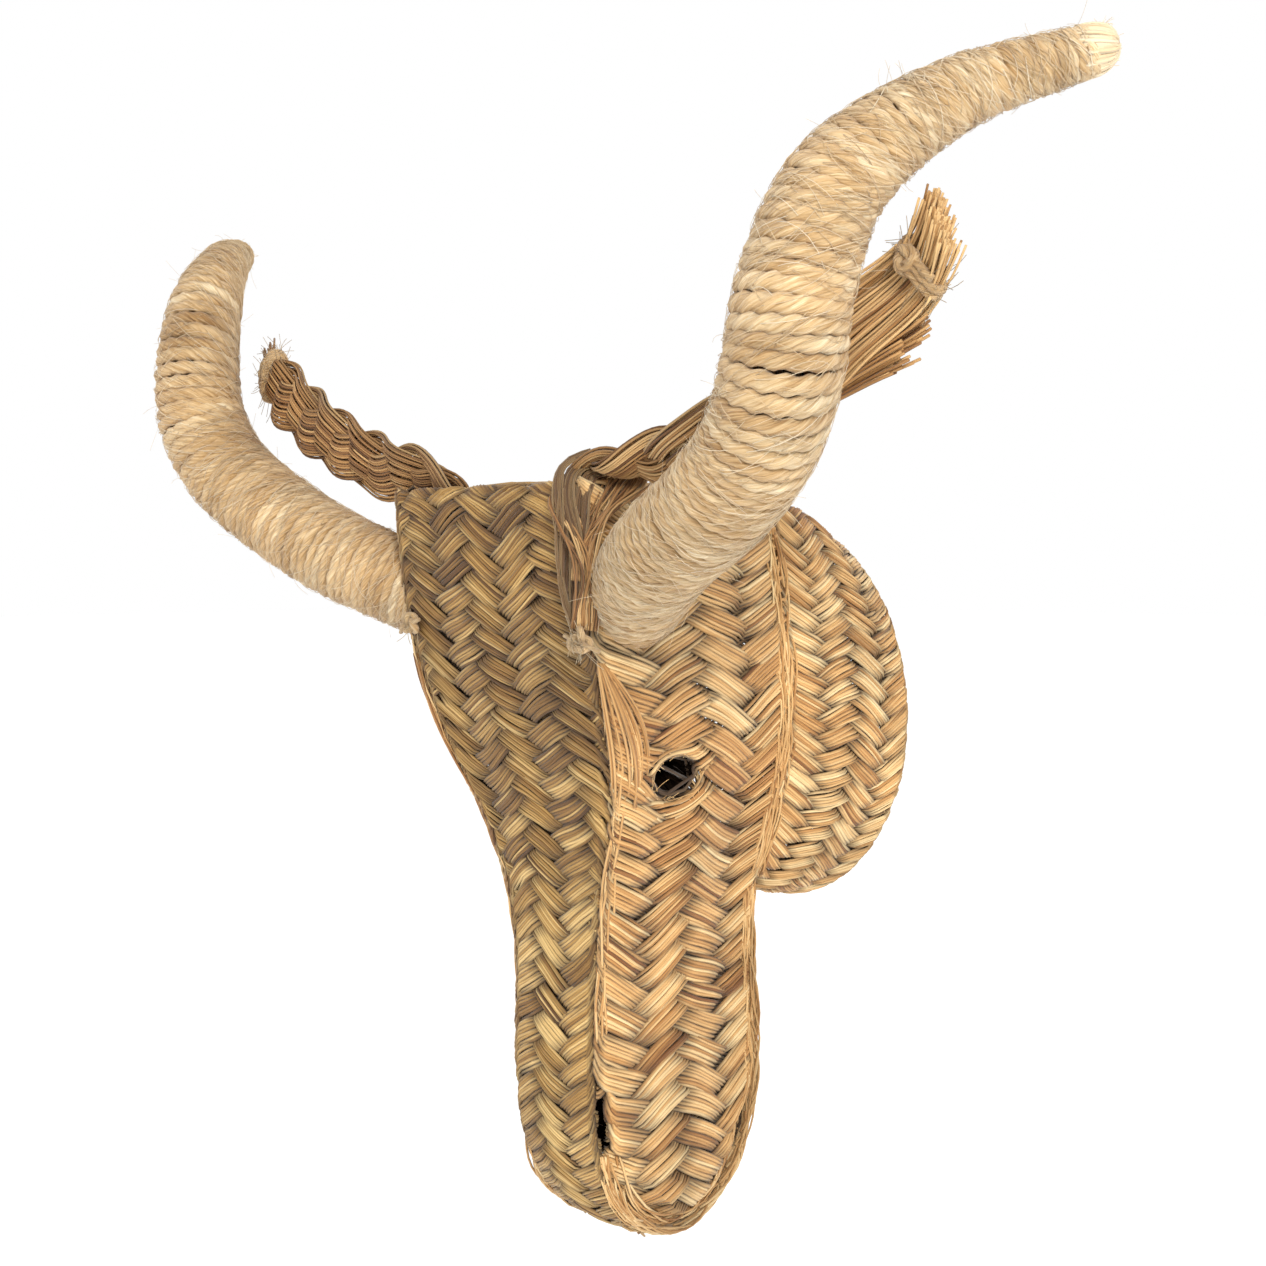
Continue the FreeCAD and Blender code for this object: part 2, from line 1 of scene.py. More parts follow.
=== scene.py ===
"""Looks of the straw trophy head: woven plaits, cord-wrapped horns and plaited ears.

Lengths are in millimetres in the making functions and in metres in the meshes. X is to the viewer's
right and the face looks along -Y."""
import bpy
import math
import numpy as np
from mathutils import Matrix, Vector


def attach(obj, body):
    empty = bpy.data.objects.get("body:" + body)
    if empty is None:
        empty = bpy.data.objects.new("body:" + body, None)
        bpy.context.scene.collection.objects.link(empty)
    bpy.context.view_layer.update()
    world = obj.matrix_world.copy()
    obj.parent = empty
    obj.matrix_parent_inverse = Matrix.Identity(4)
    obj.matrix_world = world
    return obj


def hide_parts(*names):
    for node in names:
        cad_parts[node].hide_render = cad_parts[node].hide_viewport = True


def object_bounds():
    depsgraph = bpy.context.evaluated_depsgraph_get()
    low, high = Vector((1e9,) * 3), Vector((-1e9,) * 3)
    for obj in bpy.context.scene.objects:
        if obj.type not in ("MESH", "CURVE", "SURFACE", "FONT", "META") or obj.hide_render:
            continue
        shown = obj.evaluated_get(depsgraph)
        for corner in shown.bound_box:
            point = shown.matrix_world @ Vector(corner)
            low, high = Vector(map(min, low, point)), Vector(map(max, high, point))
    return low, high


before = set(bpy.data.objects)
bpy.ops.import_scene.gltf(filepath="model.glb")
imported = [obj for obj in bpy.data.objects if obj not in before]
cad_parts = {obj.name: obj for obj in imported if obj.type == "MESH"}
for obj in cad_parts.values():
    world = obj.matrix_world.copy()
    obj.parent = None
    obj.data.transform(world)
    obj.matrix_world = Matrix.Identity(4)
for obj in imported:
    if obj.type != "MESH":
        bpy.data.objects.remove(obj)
cad_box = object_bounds()
MM = 0.001
TURN = 2 * np.pi
CAMERA_AIM = (0.0, -0.102, -0.023)
CAMERA_DISTANCE = 0.745
LENS_MM = 48.14218
SENSOR_MM = 36.0
RISE = -0.0497630332

# ---- camera, light and floor


def add_aimed(name, data, place, way):
    """A camera or a light at the place that looks along way."""
    thing = bpy.data.objects.new(name, data)
    bpy.context.scene.collection.objects.link(thing)
    thing.location = place
    thing.rotation_euler = way.to_track_quat("-Z", "Y").to_euler()
    return thing


def look_camera():
    """The view from 45 degrees to the viewer's right, level with the head."""
    data = bpy.data.cameras.new("camera")
    way = Vector((-1.0, 1.0, 0.0)).normalized()
    camera = add_aimed("camera", data, Vector(CAMERA_AIM) - way * CAMERA_DISTANCE, way)
    data.sensor_width = SENSOR_MM
    data.lens = LENS_MM
    data.shift_y = RISE
    data.clip_start = 0.01
    data.clip_end = 100.0
    bpy.context.scene.camera = camera


def area_light(name, place, target, width, power, colour=(1, 1, 1)):
    data = bpy.data.lights.new(name, "AREA")
    data.shape = "DISK"
    data.size = width
    data.energy = power
    data.color = colour
    add_aimed(name, data, place, Vector(target) - Vector(place))


def studio():
    """Soft white surroundings, a key light, a fill light and a pale floor."""
    bpy.context.scene.view_settings.view_transform = "Standard"
    world = bpy.data.worlds.new("world")
    bpy.context.scene.world = world
    world.use_nodes = True
    nodes, links = world.node_tree.nodes, world.node_tree.links
    background = nodes["Background"]
    background.inputs["Color"].default_value = (1.0, 1.0, 1.0, 1)
    # the studio's far side, behind the head, is brighter than the side that the face looks at
    direction = nodes.new("ShaderNodeTexCoord")
    facing = nodes.new("ShaderNodeVectorMath")
    facing.operation = "DOT_PRODUCT"
    facing.inputs[1].default_value = (-0.707, 0.707, 0.0)
    links.new(direction.outputs["Generated"], facing.inputs[0])
    level = add_node(nodes, "MapRange", From_Min=-0.5, From_Max=0.55, To_Min=0.66, To_Max=1.0)
    links.new(facing.outputs["Value"], level.inputs["Value"])
    links.new(level.outputs[0], background.inputs["Strength"])
    aim = (0.02, -0.11, -0.06)
    area_light("key", (1.35, -0.95, 0.75), aim, 0.55, 22, (1.0, 0.97, 0.93))
    area_light("fill", (-0.5, -1.6, 0.5), aim, 1.2, 4, (0.97, 0.98, 1.0))
    bpy.ops.mesh.primitive_plane_add(size=30, location=(0, 0, cad_box[0][2] - 0.16))
    floor = bpy.context.object
    floor.name = "floor"
    material, _, _, shader = new_material("floor_pale")
    shader.inputs["Base Color"].default_value = (0.95, 0.95, 0.945, 1)
    shader.inputs["Emission Color"].default_value = (1, 1, 1, 1)
    shader.inputs["Emission Strength"].default_value = 0.28
    shader.inputs["Roughness"].default_value = 0.9
    shader.inputs["Specular IOR Level"].default_value = 0.1
    floor.data.materials.append(material)


# ---- materials


def new_material(name):
    material = bpy.data.materials.new(name)
    material.use_nodes = True
    nodes = material.node_tree.nodes
    return material, nodes, material.node_tree.links, nodes["Principled BSDF"]


def add_node(nodes, kind, **values):
    """A shader node with its sockets set; an underscore stands for a space in a socket's name."""
    node = nodes.new("ShaderNode" + kind)
    for name, value in values.items():
        node.inputs[name.replace("_", " ")].default_value = value
    return node


def ramp(nodes, stops):
    node = nodes.new("ShaderNodeValToRGB")
    elements = node.color_ramp.elements
    while len(elements) < len(stops):
        elements.new(0.5)
    for element, (place, colour) in zip(elements, stops):
        element.position = place
        element.color = (*colour, 1)
    return node


def srgb(*values):
    return tuple(((v / 255 + 0.055) / 1.055) ** 2.4 if v > 10 else v / 3295 for v in values)


def mix(nodes, links, kind, factor, first, second):
    node = nodes.new("ShaderNodeMix")
    node.data_type = "RGBA"
    node.blend_type = kind
    for index, value in ((0, factor), (6, first), (7, second)):
        socket = node.inputs[index]
        if isinstance(value, (int, float)):
            socket.default_value = value
        elif isinstance(value, tuple):
            socket.default_value = (*value, 1)
        else:
            links.new(value, socket)
    return node.outputs[2]


def fibre_material(name, stops, streak=(0.5, 14.0), bump=0.35, rough=(0.5, 0.75), sheen=0.15,
                   mottle=(0.78, 1.14), painted_shade_tint=(0.055, 0.030, 0.014), grain=0.7, depth=0.0006,
                   shine=0.38):
    """Plant fibre: each strand has its own tone, with streaks along it and patches over all."""
    material, nodes, links, shader = new_material(name)
    tone = nodes.new("ShaderNodeAttribute")
    tone.attribute_name = "tone"
    # deep: how much painted shade each vertex carries
    deep = nodes.new("ShaderNodeAttribute")
    deep.attribute_name = "deep"
    uv = nodes.new("ShaderNodeUVMap")
    uv.uv_map = "run"
    place = nodes.new("ShaderNodeTexCoord")
    mapping = add_node(nodes, "Mapping", Scale=(streak[0], streak[1], 1.0))
    streaks = add_node(nodes, "TexNoise", Scale=1.0, Detail=5.0, Roughness=0.65)
    patches = add_node(nodes, "TexNoise", Scale=26.0, Detail=3.0)
    spread = nodes.new("ShaderNodeMath")
    spread.operation = "MULTIPLY_ADD"
    spread.inputs[1].default_value = grain
    spread.inputs[2].default_value = -grain / 2
    total = nodes.new("ShaderNodeMath")
    total.operation = "ADD"
    colours = ramp(nodes, stops)
    shade = add_node(nodes, "MapRange", From_Min=0.3, From_Max=0.7, To_Min=mottle[0],
                     To_Max=mottle[1])
    roughness = add_node(nodes, "MapRange", To_Min=rough[0], To_Max=rough[1])
    relief = add_node(nodes, "Bump", Strength=bump, Distance=depth)
    patched = mix(nodes, links, "MULTIPLY", 1.0, colours.outputs["Color"], shade.outputs[0])
    # painted shade: the colour is mixed towards a dark tint by the deep attribute, in weave gaps,
    # under crossings and on straw undersides
    final = mix(nodes, links, "MIX", deep.outputs["Fac"], patched, painted_shade_tint)
    for source, target in (
        (uv.outputs["UV"], mapping.inputs["Vector"]),
        (mapping.outputs["Vector"], streaks.inputs["Vector"]),
        (place.outputs["Object"], patches.inputs["Vector"]),
        (streaks.outputs["Fac"], spread.inputs[0]),
        (tone.outputs["Fac"], total.inputs[0]),
        (spread.outputs[0], total.inputs[1]),
        (total.outputs[0], colours.inputs["Fac"]),
        (patches.outputs["Fac"], shade.inputs["Value"]),
        (final, shader.inputs["Base Color"]),
        (streaks.outputs["Fac"], roughness.inputs["Value"]),
        (roughness.outputs[0], shader.inputs["Roughness"]),
        (streaks.outputs["Fac"], relief.inputs["Height"]),
        (relief.outputs["Normal"], shader.inputs["Normal"]),
    ):
        links.new(source, target)
    shader.inputs["Sheen Weight"].default_value = sheen
    shader.inputs["Sheen Roughness"].default_value = 0.4
    shader.inputs["Specular IOR Level"].default_value = shine
    return material


GOLD = ((0.0, srgb(124, 76, 38)), (0.3, srgb(186, 134, 76)), (0.6, srgb(226, 180, 118)),
        (1.0, srgb(252, 224, 170)))
# duller, darker straw for the strips down the front and for the crown; its darkness is partly the
# straw's own colour and partly painted shade on the brow
OLIVE = ((0.0, srgb(88, 57, 25)), (0.3, srgb(140, 102, 51)), (0.6, srgb(180, 141, 79)),
         (1.0, srgb(228, 195, 132)))
BROWN = ((0.0, srgb(84, 52, 26)), (0.35, srgb(146, 102, 58)), (0.65, srgb(190, 144, 88)),
         (1.0, srgb(236, 198, 140)))
# near-black straw: painted shade for the inside of the eye hole
SHADED = ((0.0, srgb(9, 6, 4)), (0.5, srgb(19, 13, 9)), (1.0, srgb(36, 25, 17)))
SISAL = ((0.0, srgb(118, 78, 38)), (0.3, srgb(174, 134, 82)), (0.55, srgb(208, 172, 122)),
         (0.8, srgb(232, 204, 158)), (1.0, srgb(248, 232, 198)))
STEEL = ((0.3, srgb(92, 88, 84)), (0.55, srgb(148, 145, 140)), (0.75, srgb(112, 76, 52)))
PALE = ((0.0, srgb(176, 142, 98)), (0.4, srgb(218, 190, 146)), (1.0, srgb(244, 230, 202)))

MATERIALS = {}


def make_materials():
    MATERIALS["gold"] = fibre_material("straw_gold", GOLD)
    MATERIALS["olive"] = fibre_material("straw_olive", OLIVE)
    MATERIALS["brown"] = fibre_material("straw_brown", BROWN)
    MATERIALS["shaded"] = fibre_material("straw_shaded", SHADED, rough=(0.9, 1.0), sheen=0.0,
                                         shine=0.04)
    MATERIALS["sisal"] = fibre_material("sisal_cord", SISAL, streak=(0.8, 9.0), bump=1.0,
                                        depth=0.0016, rough=(0.42, 0.7), sheen=0.25,
                                        mottle=(0.86, 1.1), painted_shade_tint=(0.16, 0.09, 0.045),
                                        grain=1.7)
    MATERIALS["pale"] = fibre_material("cord_end", PALE, streak=(0.5, 20.0), bump=0.5, sheen=0.4,
                                       mottle=(0.9, 1.06))


def steel_material():
    """Drawn steel wire with a dull, slightly rusted skin."""
    material, nodes, links, shader = new_material("drawn_steel")
    place = nodes.new("ShaderNodeTexCoord")
    noise = add_node(nodes, "TexNoise", Scale=420.0, Detail=5.0)
    links.new(place.outputs["Object"], noise.inputs["Vector"])
    skin = ramp(nodes, STEEL)
    links.new(noise.outputs["Fac"], skin.inputs["Fac"])
    links.new(skin.outputs["Color"], shader.inputs["Base Color"])
    dull = add_node(nodes, "MapRange", To_Min=0.25, To_Max=0.65)
    links.new(noise.outputs["Fac"], dull.inputs["Value"])
    links.new(dull.outputs["Result"], shader.inputs["Roughness"])
    shader.inputs["Metallic"].default_value = 0.85
    return material


# ---- mesh of many fibres


def unit_rows(rows):
    return rows / (np.linalg.norm(rows, axis=-1, keepdims=True) + 1e-12)


def run_along(line):
    """Distance run along a line at each of its points."""
    steps = np.linalg.norm(np.diff(line, axis=-2), axis=-1)
    return np.concatenate([0 * steps[..., :1], np.cumsum(steps, -1)], -1)


class Fibres:
    """Collects fibres as closed tubes and makes one mesh of them."""

    def __init__(self, sides=4):
        self.sides = sides
        self.points = []
        self.quads = []
        self.caps = []
        self.tones = []
        self.painted_shades = []
        self.runs = []
        self.count = 0

    def add(self, line, up, wide, high, tone, deep=0.0, under=0.0, twist=None, lobes=None):
        """Adds a batch. line and up are (fibres, samples, 3), the rest fits (fibres, samples)."""
        line = np.asarray(line, float)
        batch, samples = line.shape[:2]
        sides = self.sides
        wide, high, tone, deep = (np.broadcast_to(value, (batch, samples))
                                  for value in (wide, high, tone, deep))
        way = unit_rows(np.gradient(line, axis=1))
        side = unit_rows(np.cross(way, np.broadcast_to(up, line.shape)))
        top = np.cross(side, way)
        angle = (np.arange(sides) * TURN / sides + np.pi / sides * (sides != 4))[None, None]
        swell = np.ones((batch, samples, sides))
        if lobes is not None:
            swell = 1 + lobes[0] * np.cos(lobes[1] * (angle - twist[..., None]))
        across = np.cos(angle) * wide[..., None] * swell
        upward = np.sin(angle) * high[..., None] * swell
        rings = (line[:, :, None] + side[:, :, None] * across[..., None]
                 + top[:, :, None] * upward[..., None])
        index = self.count + np.arange(batch * samples * sides).reshape(batch, samples, sides)
        first, second = index[:, :-1], index[:, 1:]
        quads = np.stack([first, np.roll(first, -1, 2), np.roll(second, -1, 2), second], -1)
        self.quads.append(quads.reshape(-1, 4))
        self.caps.append(np.concatenate([index[:, 0, ::-1], index[:, -1]]))
        self.points.append(rings.reshape(-1, 3))
        self.tones.append(np.repeat(tone.reshape(-1), sides))
        # painted shade: under darkens the vertices on the lower side of each tube, on top of the
        # deep value
        below = np.clip(0.55 - np.sin(angle), 0, 1) * under
        self.painted_shades.append(np.clip(deep[..., None] + below, 0, 1).reshape(-1))
        seed = (np.arange(batch) * 7.31 + self.count * 0.0137)[:, None, None]
        turn = 0 if twist is None else (twist / TURN)[..., None]
        along = np.broadcast_to(run_along(line)[..., None], rings.shape[:3]) + seed * 11.7
        half_way = 1 - np.abs(2 * np.arange(sides) / sides - 1)
        around = np.broadcast_to(half_way, rings.shape[:3]) - turn
        self.runs.append(np.stack([along / 10, around + 0 * along], -1).reshape(-1, 2))
        self.count += batch * samples * sides

    def mesh(self, name, material, slot, replaces, mirror=False):
        points = np.concatenate(self.points) * MM
        quads = np.concatenate(self.quads)
        caps = np.concatenate(self.caps)
        if mirror:
            points[:, 0] *= -1
            quads = quads[:, ::-1]
            caps = caps[:, ::-1]
        data = bpy.data.meshes.new(name)
        data.vertices.add(len(points))
        data.vertices.foreach_set("co", points.astype(np.float32).ravel())
        loops = np.concatenate([quads.ravel(), caps.ravel()])
        data.loops.add(len(loops))
        data.loops.foreach_set("vertex_index", loops.astype(np.int32))
        sizes = np.concatenate([np.full(len(quads), 4), np.full(len(caps), self.sides)])
        starts = np.concatenate([[0], np.cumsum(sizes)[:-1]])
        data.polygons.add(len(sizes))
        data.polygons.foreach_set("loop_start", starts.astype(np.int32))
        smooth = np.ones(len(sizes), bool)
        smooth[len(quads):] = False
        data.polygons.foreach_set("use_smooth", smooth)
        layer = data.uv_layers.new(name="run")
        layer.data.foreach_set("uv", np.concatenate(self.runs)[loops].astype(np.float32).ravel())
        # the deep attribute holds the painted shade that the materials mix in
        for attribute, values in (("tone", self.tones), ("deep", self.painted_shades)):
            store = data.attributes.new(attribute, "FLOAT", "POINT")
            store.data.foreach_set("value", np.concatenate(values).astype(np.float32))
        data.update(calc_edges=True)
        data.validate()
        data.materials.append(MATERIALS[material])
        piece = bpy.data.objects.new(name, data)
        bpy.context.scene.collection.objects.link(piece)
        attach(piece, "root")
        if replaces:
            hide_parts(*replaces)
        return piece

    def mesh_side(self, side, part, material, slot, node=None):
        """The mesh of one side's piece. The left one is mirrored and has its own CAD node."""
        self.mesh(f"{side}_{part}", material, slot, [f"{side}_{node}"] if node else [],
                  mirror=side == "left")


# ---- the head's surfaces

# level, seam x and y, corner x and y, rear edge x and y of each station of the face, from the top
STATIONS = np.array([
    (9, 56, -191, 61, -187, 52, -70),
    (-42, 57, -184, 62, -180, 61, -72),
    (-73, 54, -175, 63, -170, 65, -73),
    (-98, 50, -166, 59, -161, 61, -69),
    (-128, 38, -155, 46, -151, 46, -60),
    (-160, 28, -150, 34, -146, 29, -52),
    (-190, 24.5, -149, 29, -145, 25, -50),
    (-232, 24.5, -150, 29, -146, 24, -47),
    (-310, 24.5, -150, 29, -146, 24, -47),
], float)
# rim angle from the top, and the point of the face's rear edge that it joins
COLLAR = np.array([
    (24, 52, -70, 9), (45, 57, -71, -16), (70, 62.5, -72.5, -50), (90, 64, -71.5, -80),
    (112, 56, -66, -109), (132, 42, -58, -134), (150, 28, -52, -153), (165, 15, -50, -161),
    (179.7, 0.3, -50, -162),
], float)
# distance ahead of the rim, half width, and the height of the crown's edge and of its middle
CROWN = np.array([
    (-184, 54, 8.5, 12), (-130, 49.5, 8.5, 15), (-72, 44, 8, 14), (-36, 37, 1, 10),
    (0, 28.5, -6.8, 3),
], float)
CROWN_LENGTH = 184
CROWN_TURN_DOWN = 182.5
RIM_X, RIM_Z = 75.0, 89.0
CROWN_LEVEL = 9.0
SOFTEN = 12
COLUMN = 24.0
NARROW_COLUMN = 18.0
# middle as (y, z), then half sizes, of the muzzle's end and of the eye hole
MUZZLE = (-98.5, -240.0, 51.5, 68.0)
EYE = (-134.0, -107.0, 13.0, 10.5)
# top and foot of the slit beside the nose, and its width
SLIT = (-231.0, -275.0, 6.8)


def smooth_table(table, places, spread):
    """Columns of a table against its first column, read at the places and rounded off a little."""
    order = np.argsort(table[:, 0])
    shifts = np.linspace(-spread, spread, 7)
    columns = []
    for column in range(1, table.shape[1]):
        read = [np.interp(places + shift, table[order, 0], table[order, column])
                for shift in shifts]
        columns.append(np.mean(read, axis=0))
    return columns


def normals_of(chart, across, along):
    step = 0.02
    first = chart(across + step, along) - chart(across - step, along)
    second = chart(across, along + 0.5) - chart(across, along - 0.5)
    return unit_rows(np.cross(first, second))


def stations_at(level):
    return smooth_table(STATIONS, level, SOFTEN)


def face_section(level):
    """Seam, corner and rear edge at a level, then the distances between them."""
    rows = np.stack(stations_at(level), -1)
    seam, corner, rear = rows[..., :2], rows[..., 2:4], rows[..., 4:]
    return (seam, corner, rear, np.linalg.norm(corner - seam, axis=-1),
            np.linalg.norm(rear - corner, axis=-1))


def face_width(along):
    return sum(face_section(CROWN_LEVEL - along)[3:])


def face_point(across, along):
    """The side of the face: across in mm from the brow seam, along in mm down from the crown."""
    level = CROWN_LEVEL - along
    seam, corner, rear, first, second = face_section(level)

    def corner_at(distance):
        early = seam + (corner - seam) * (distance / first)[..., None]
        late = corner + (rear - corner) * ((distance - first) / second)[..., None]
        return np.where((distance < first)[..., None], early, late)

    flat = np.mean([corner_at(across + shift) for shift in (-5, -2.5, 0, 2.5, 5)], axis=0)
    share = np.clip(across / (first + second), 0, 1)
    swell = 2.2 * np.sin(np.pi * share)
    return np.stack([flat[..., 0] + swell, flat[..., 1], level], -1)


def centre_line():
    """The middle of the front and the chin strip in side view, as (y, z), and the run along it."""
    upper = [(row[2], row[0]) for row in STATIONS[:-1]]
    turns = np.radians(np.arange(192, 358, 6))
    end = [(MUZZLE[0] + MUZZLE[2] * math.cos(turn), MUZZLE[1] + MUZZLE[3] * math.sin(turn))
           for turn in turns]
    back = [(-49, -215), (-50, -190), (-51, -166)]
    points = np.array(upper + end + back)
    return points, run_along(points)


LINE, LINE_RUN = centre_line()
MUZZLE_RUN = float(LINE_RUN[7])


def line_at(along):
    table = np.column_stack([LINE_RUN, LINE])
    return smooth_table(table, along, 7)


def strip_half(along):
    """Half width of the strip that runs down the front and round the muzzle."""
    seam_x = stations_at(line_at(along)[1])[0]
    past = along - MUZZLE_RUN
    return np.where(past < 0, seam_x, np.interp(past, (0, 60, 110, 160), (24.5, 24.0, 23.5, 23.0)))


def strip_point(across, along):
    """The front and chin strip: across in mm from the middle, along in mm from the crown down."""
    along = np.minimum(along, LINE_RUN[-1] - 1.5)
    y, z = line_at(along)
    ahead_y, ahead_z = line_at(along + 1)
    way = unit_rows(np.stack([ahead_y - y, ahead_z - z], -1))
    share = across / strip_half(along)
    swell = 2.6 * (1 - share * share)
    return np.stack([across, y + way[..., 1] * swell, z - way[..., 0] * swell], -1)


def crown_point(across, along):
    """The top of the head: across in mm from the middle, along in mm back from the brow."""
    half, edge, middle = smooth_table(CROWN, along - CROWN_LENGTH, 8)
    share = np.abs(across) / half
    return np.stack([across, along - CROWN_LENGTH, edge + (middle - edge) * (1 - share ** 1.7)], -1)


def crown_half(along):
    return smooth_table(CROWN, along - CROWN_LENGTH, 8)[0]


COLLAR_ANGLES = np.linspace(24, 179.7, 120)


def collar_ends(angle):
    joint = np.stack(smooth_table(COLLAR, angle, 7), -1)
    turn = np.radians(angle)
    rim = np.stack([RIM_X * np.sin(turn), 0 * turn, RIM_Z * (np.cos(turn) - 1)], -1)
    return joint, rim


def collar_runs():
    joint, rim = collar_ends(COLLAR_ANGLES)
    return run_along(joint * 0.35 + rim * 0.65)


COLLAR_RUN = collar_runs()


def collar_point(share, along):
    """The jaw plait: share across from the face's rear edge to the rim, along in mm from above."""
    angle = np.interp(along, COLLAR_RUN, COLLAR_ANGLES)
    joint, rim = collar_ends(angle)
    turn = np.radians(angle)
    outward = unit_rows(np.stack([np.sin(turn) / RIM_X, 0 * turn, np.cos(turn) / RIM_Z], -1))
    part = share[..., None]
    return joint + (rim - joint) * part + outward * 3.5 * np.sin(np.pi * np.clip(part, 0, 1))


def rolled(chart, radius, sign=-1):
    """The chart with its start, at along below zero, rolled inwards over the edge."""

    def turned(across, along):
        past = np.clip(-along, 0, None) / radius
        kept = np.maximum(along, 0)
        base = chart(across, kept)
        back = unit_rows(base - chart(across, kept + 1.0))
        side = chart(across + 0.02, kept) - chart(across - 0.02, kept)
        outward = unit_rows(np.cross(side, -back)) * sign
        return (base + back * (radius * np.sin(past))[..., None]
                - outward * (radius * (1 - np.cos(past)))[..., None])

    return turned


# ---- the herringbone weave


def wave(across):
    """Above zero in every other column, where the first family of strands lies on top."""
    return np.tanh(3.2 * np.sin(np.pi * across)) / np.tanh(3.2)


def pushed_aside(across, along, column, hole, vary):
    """Strands near a hole move round it."""
    centre_across, centre_along, half_across, half_along = hole
    dx = (across * column - centre_across) / (half_across * vary)
    dy = (along - centre_along) / (half_along * vary)
    radius = np.sqrt(dx * dx + dy * dy) + 1e-6
    grown = (radius ** 3 + 1) ** (1 / 3) / radius
    dx, dy = dx * grown * half_across * vary, dy * grown * half_along * vary
    return (centre_across + dx) / column, centre_along + dy


THICKNESS = 3.0
TAIL = 0.17


def even(across):
    """An edge of a plait that stays at one place across."""
    return lambda along: across + 0 * along


def weave(fibres, rng, chart, low, high, length, pitch, column, sign=1, strands=8, hole=None,
          start=0.0, inside=None, tone_shift=0.0):
    """Weaves a plait over a chart. across counts columns and along is in mm.

    Each strand climbs one pitch in one column. Both families of strands go over one column and
    under the next, and fold at the edges."""
    dense = np.linspace(-4.0, 8.0, 961)
    for slope, offset in ((1, 0.0), (-1, 0.5)):
        first = int(math.floor((start - 8 * pitch) / pitch)) - 2
        last = int(math.ceil((length + 8 * pitch) / pitch)) + 2
        for number in range(first, last):
            origin = (number + offset) * pitch + rng.normal(0, 0.035) * pitch
            along = origin + slope * pitch * dense
            ok = (dense > low(along)) & (dense < high(along)) & (along > start) & (along < length)
            if inside is not None:
                ok &= inside(dense, along)
            if ok.sum() < 6:
                continue
            begin = np.argmax(ok)
            finish = begin + np.argmin(ok[begin:]) if not ok[begin:].all() else len(dense)
            left, right = dense[begin], dense[finish - 1]
            if right - left < 0.12:
                continue
            ends = []
            for place in (left, right):
                level = origin + slope * pitch * place
                edge = low(level) if place == left else high(level)
                at_edge = abs(place - edge) < 0.03
                raised = slope * wave(place - 0.2 if place == right else place + 0.2) > -0.1
                ends.append("fold" if at_edge and raised else "tuck" if at_edge else "cut")
            level = tone_shift(origin) if callable(tone_shift) else tone_shift
            strand(fibres, rng, chart, slope, origin, left, right, ends, pitch, column, strands,
                   hole, level, sign)


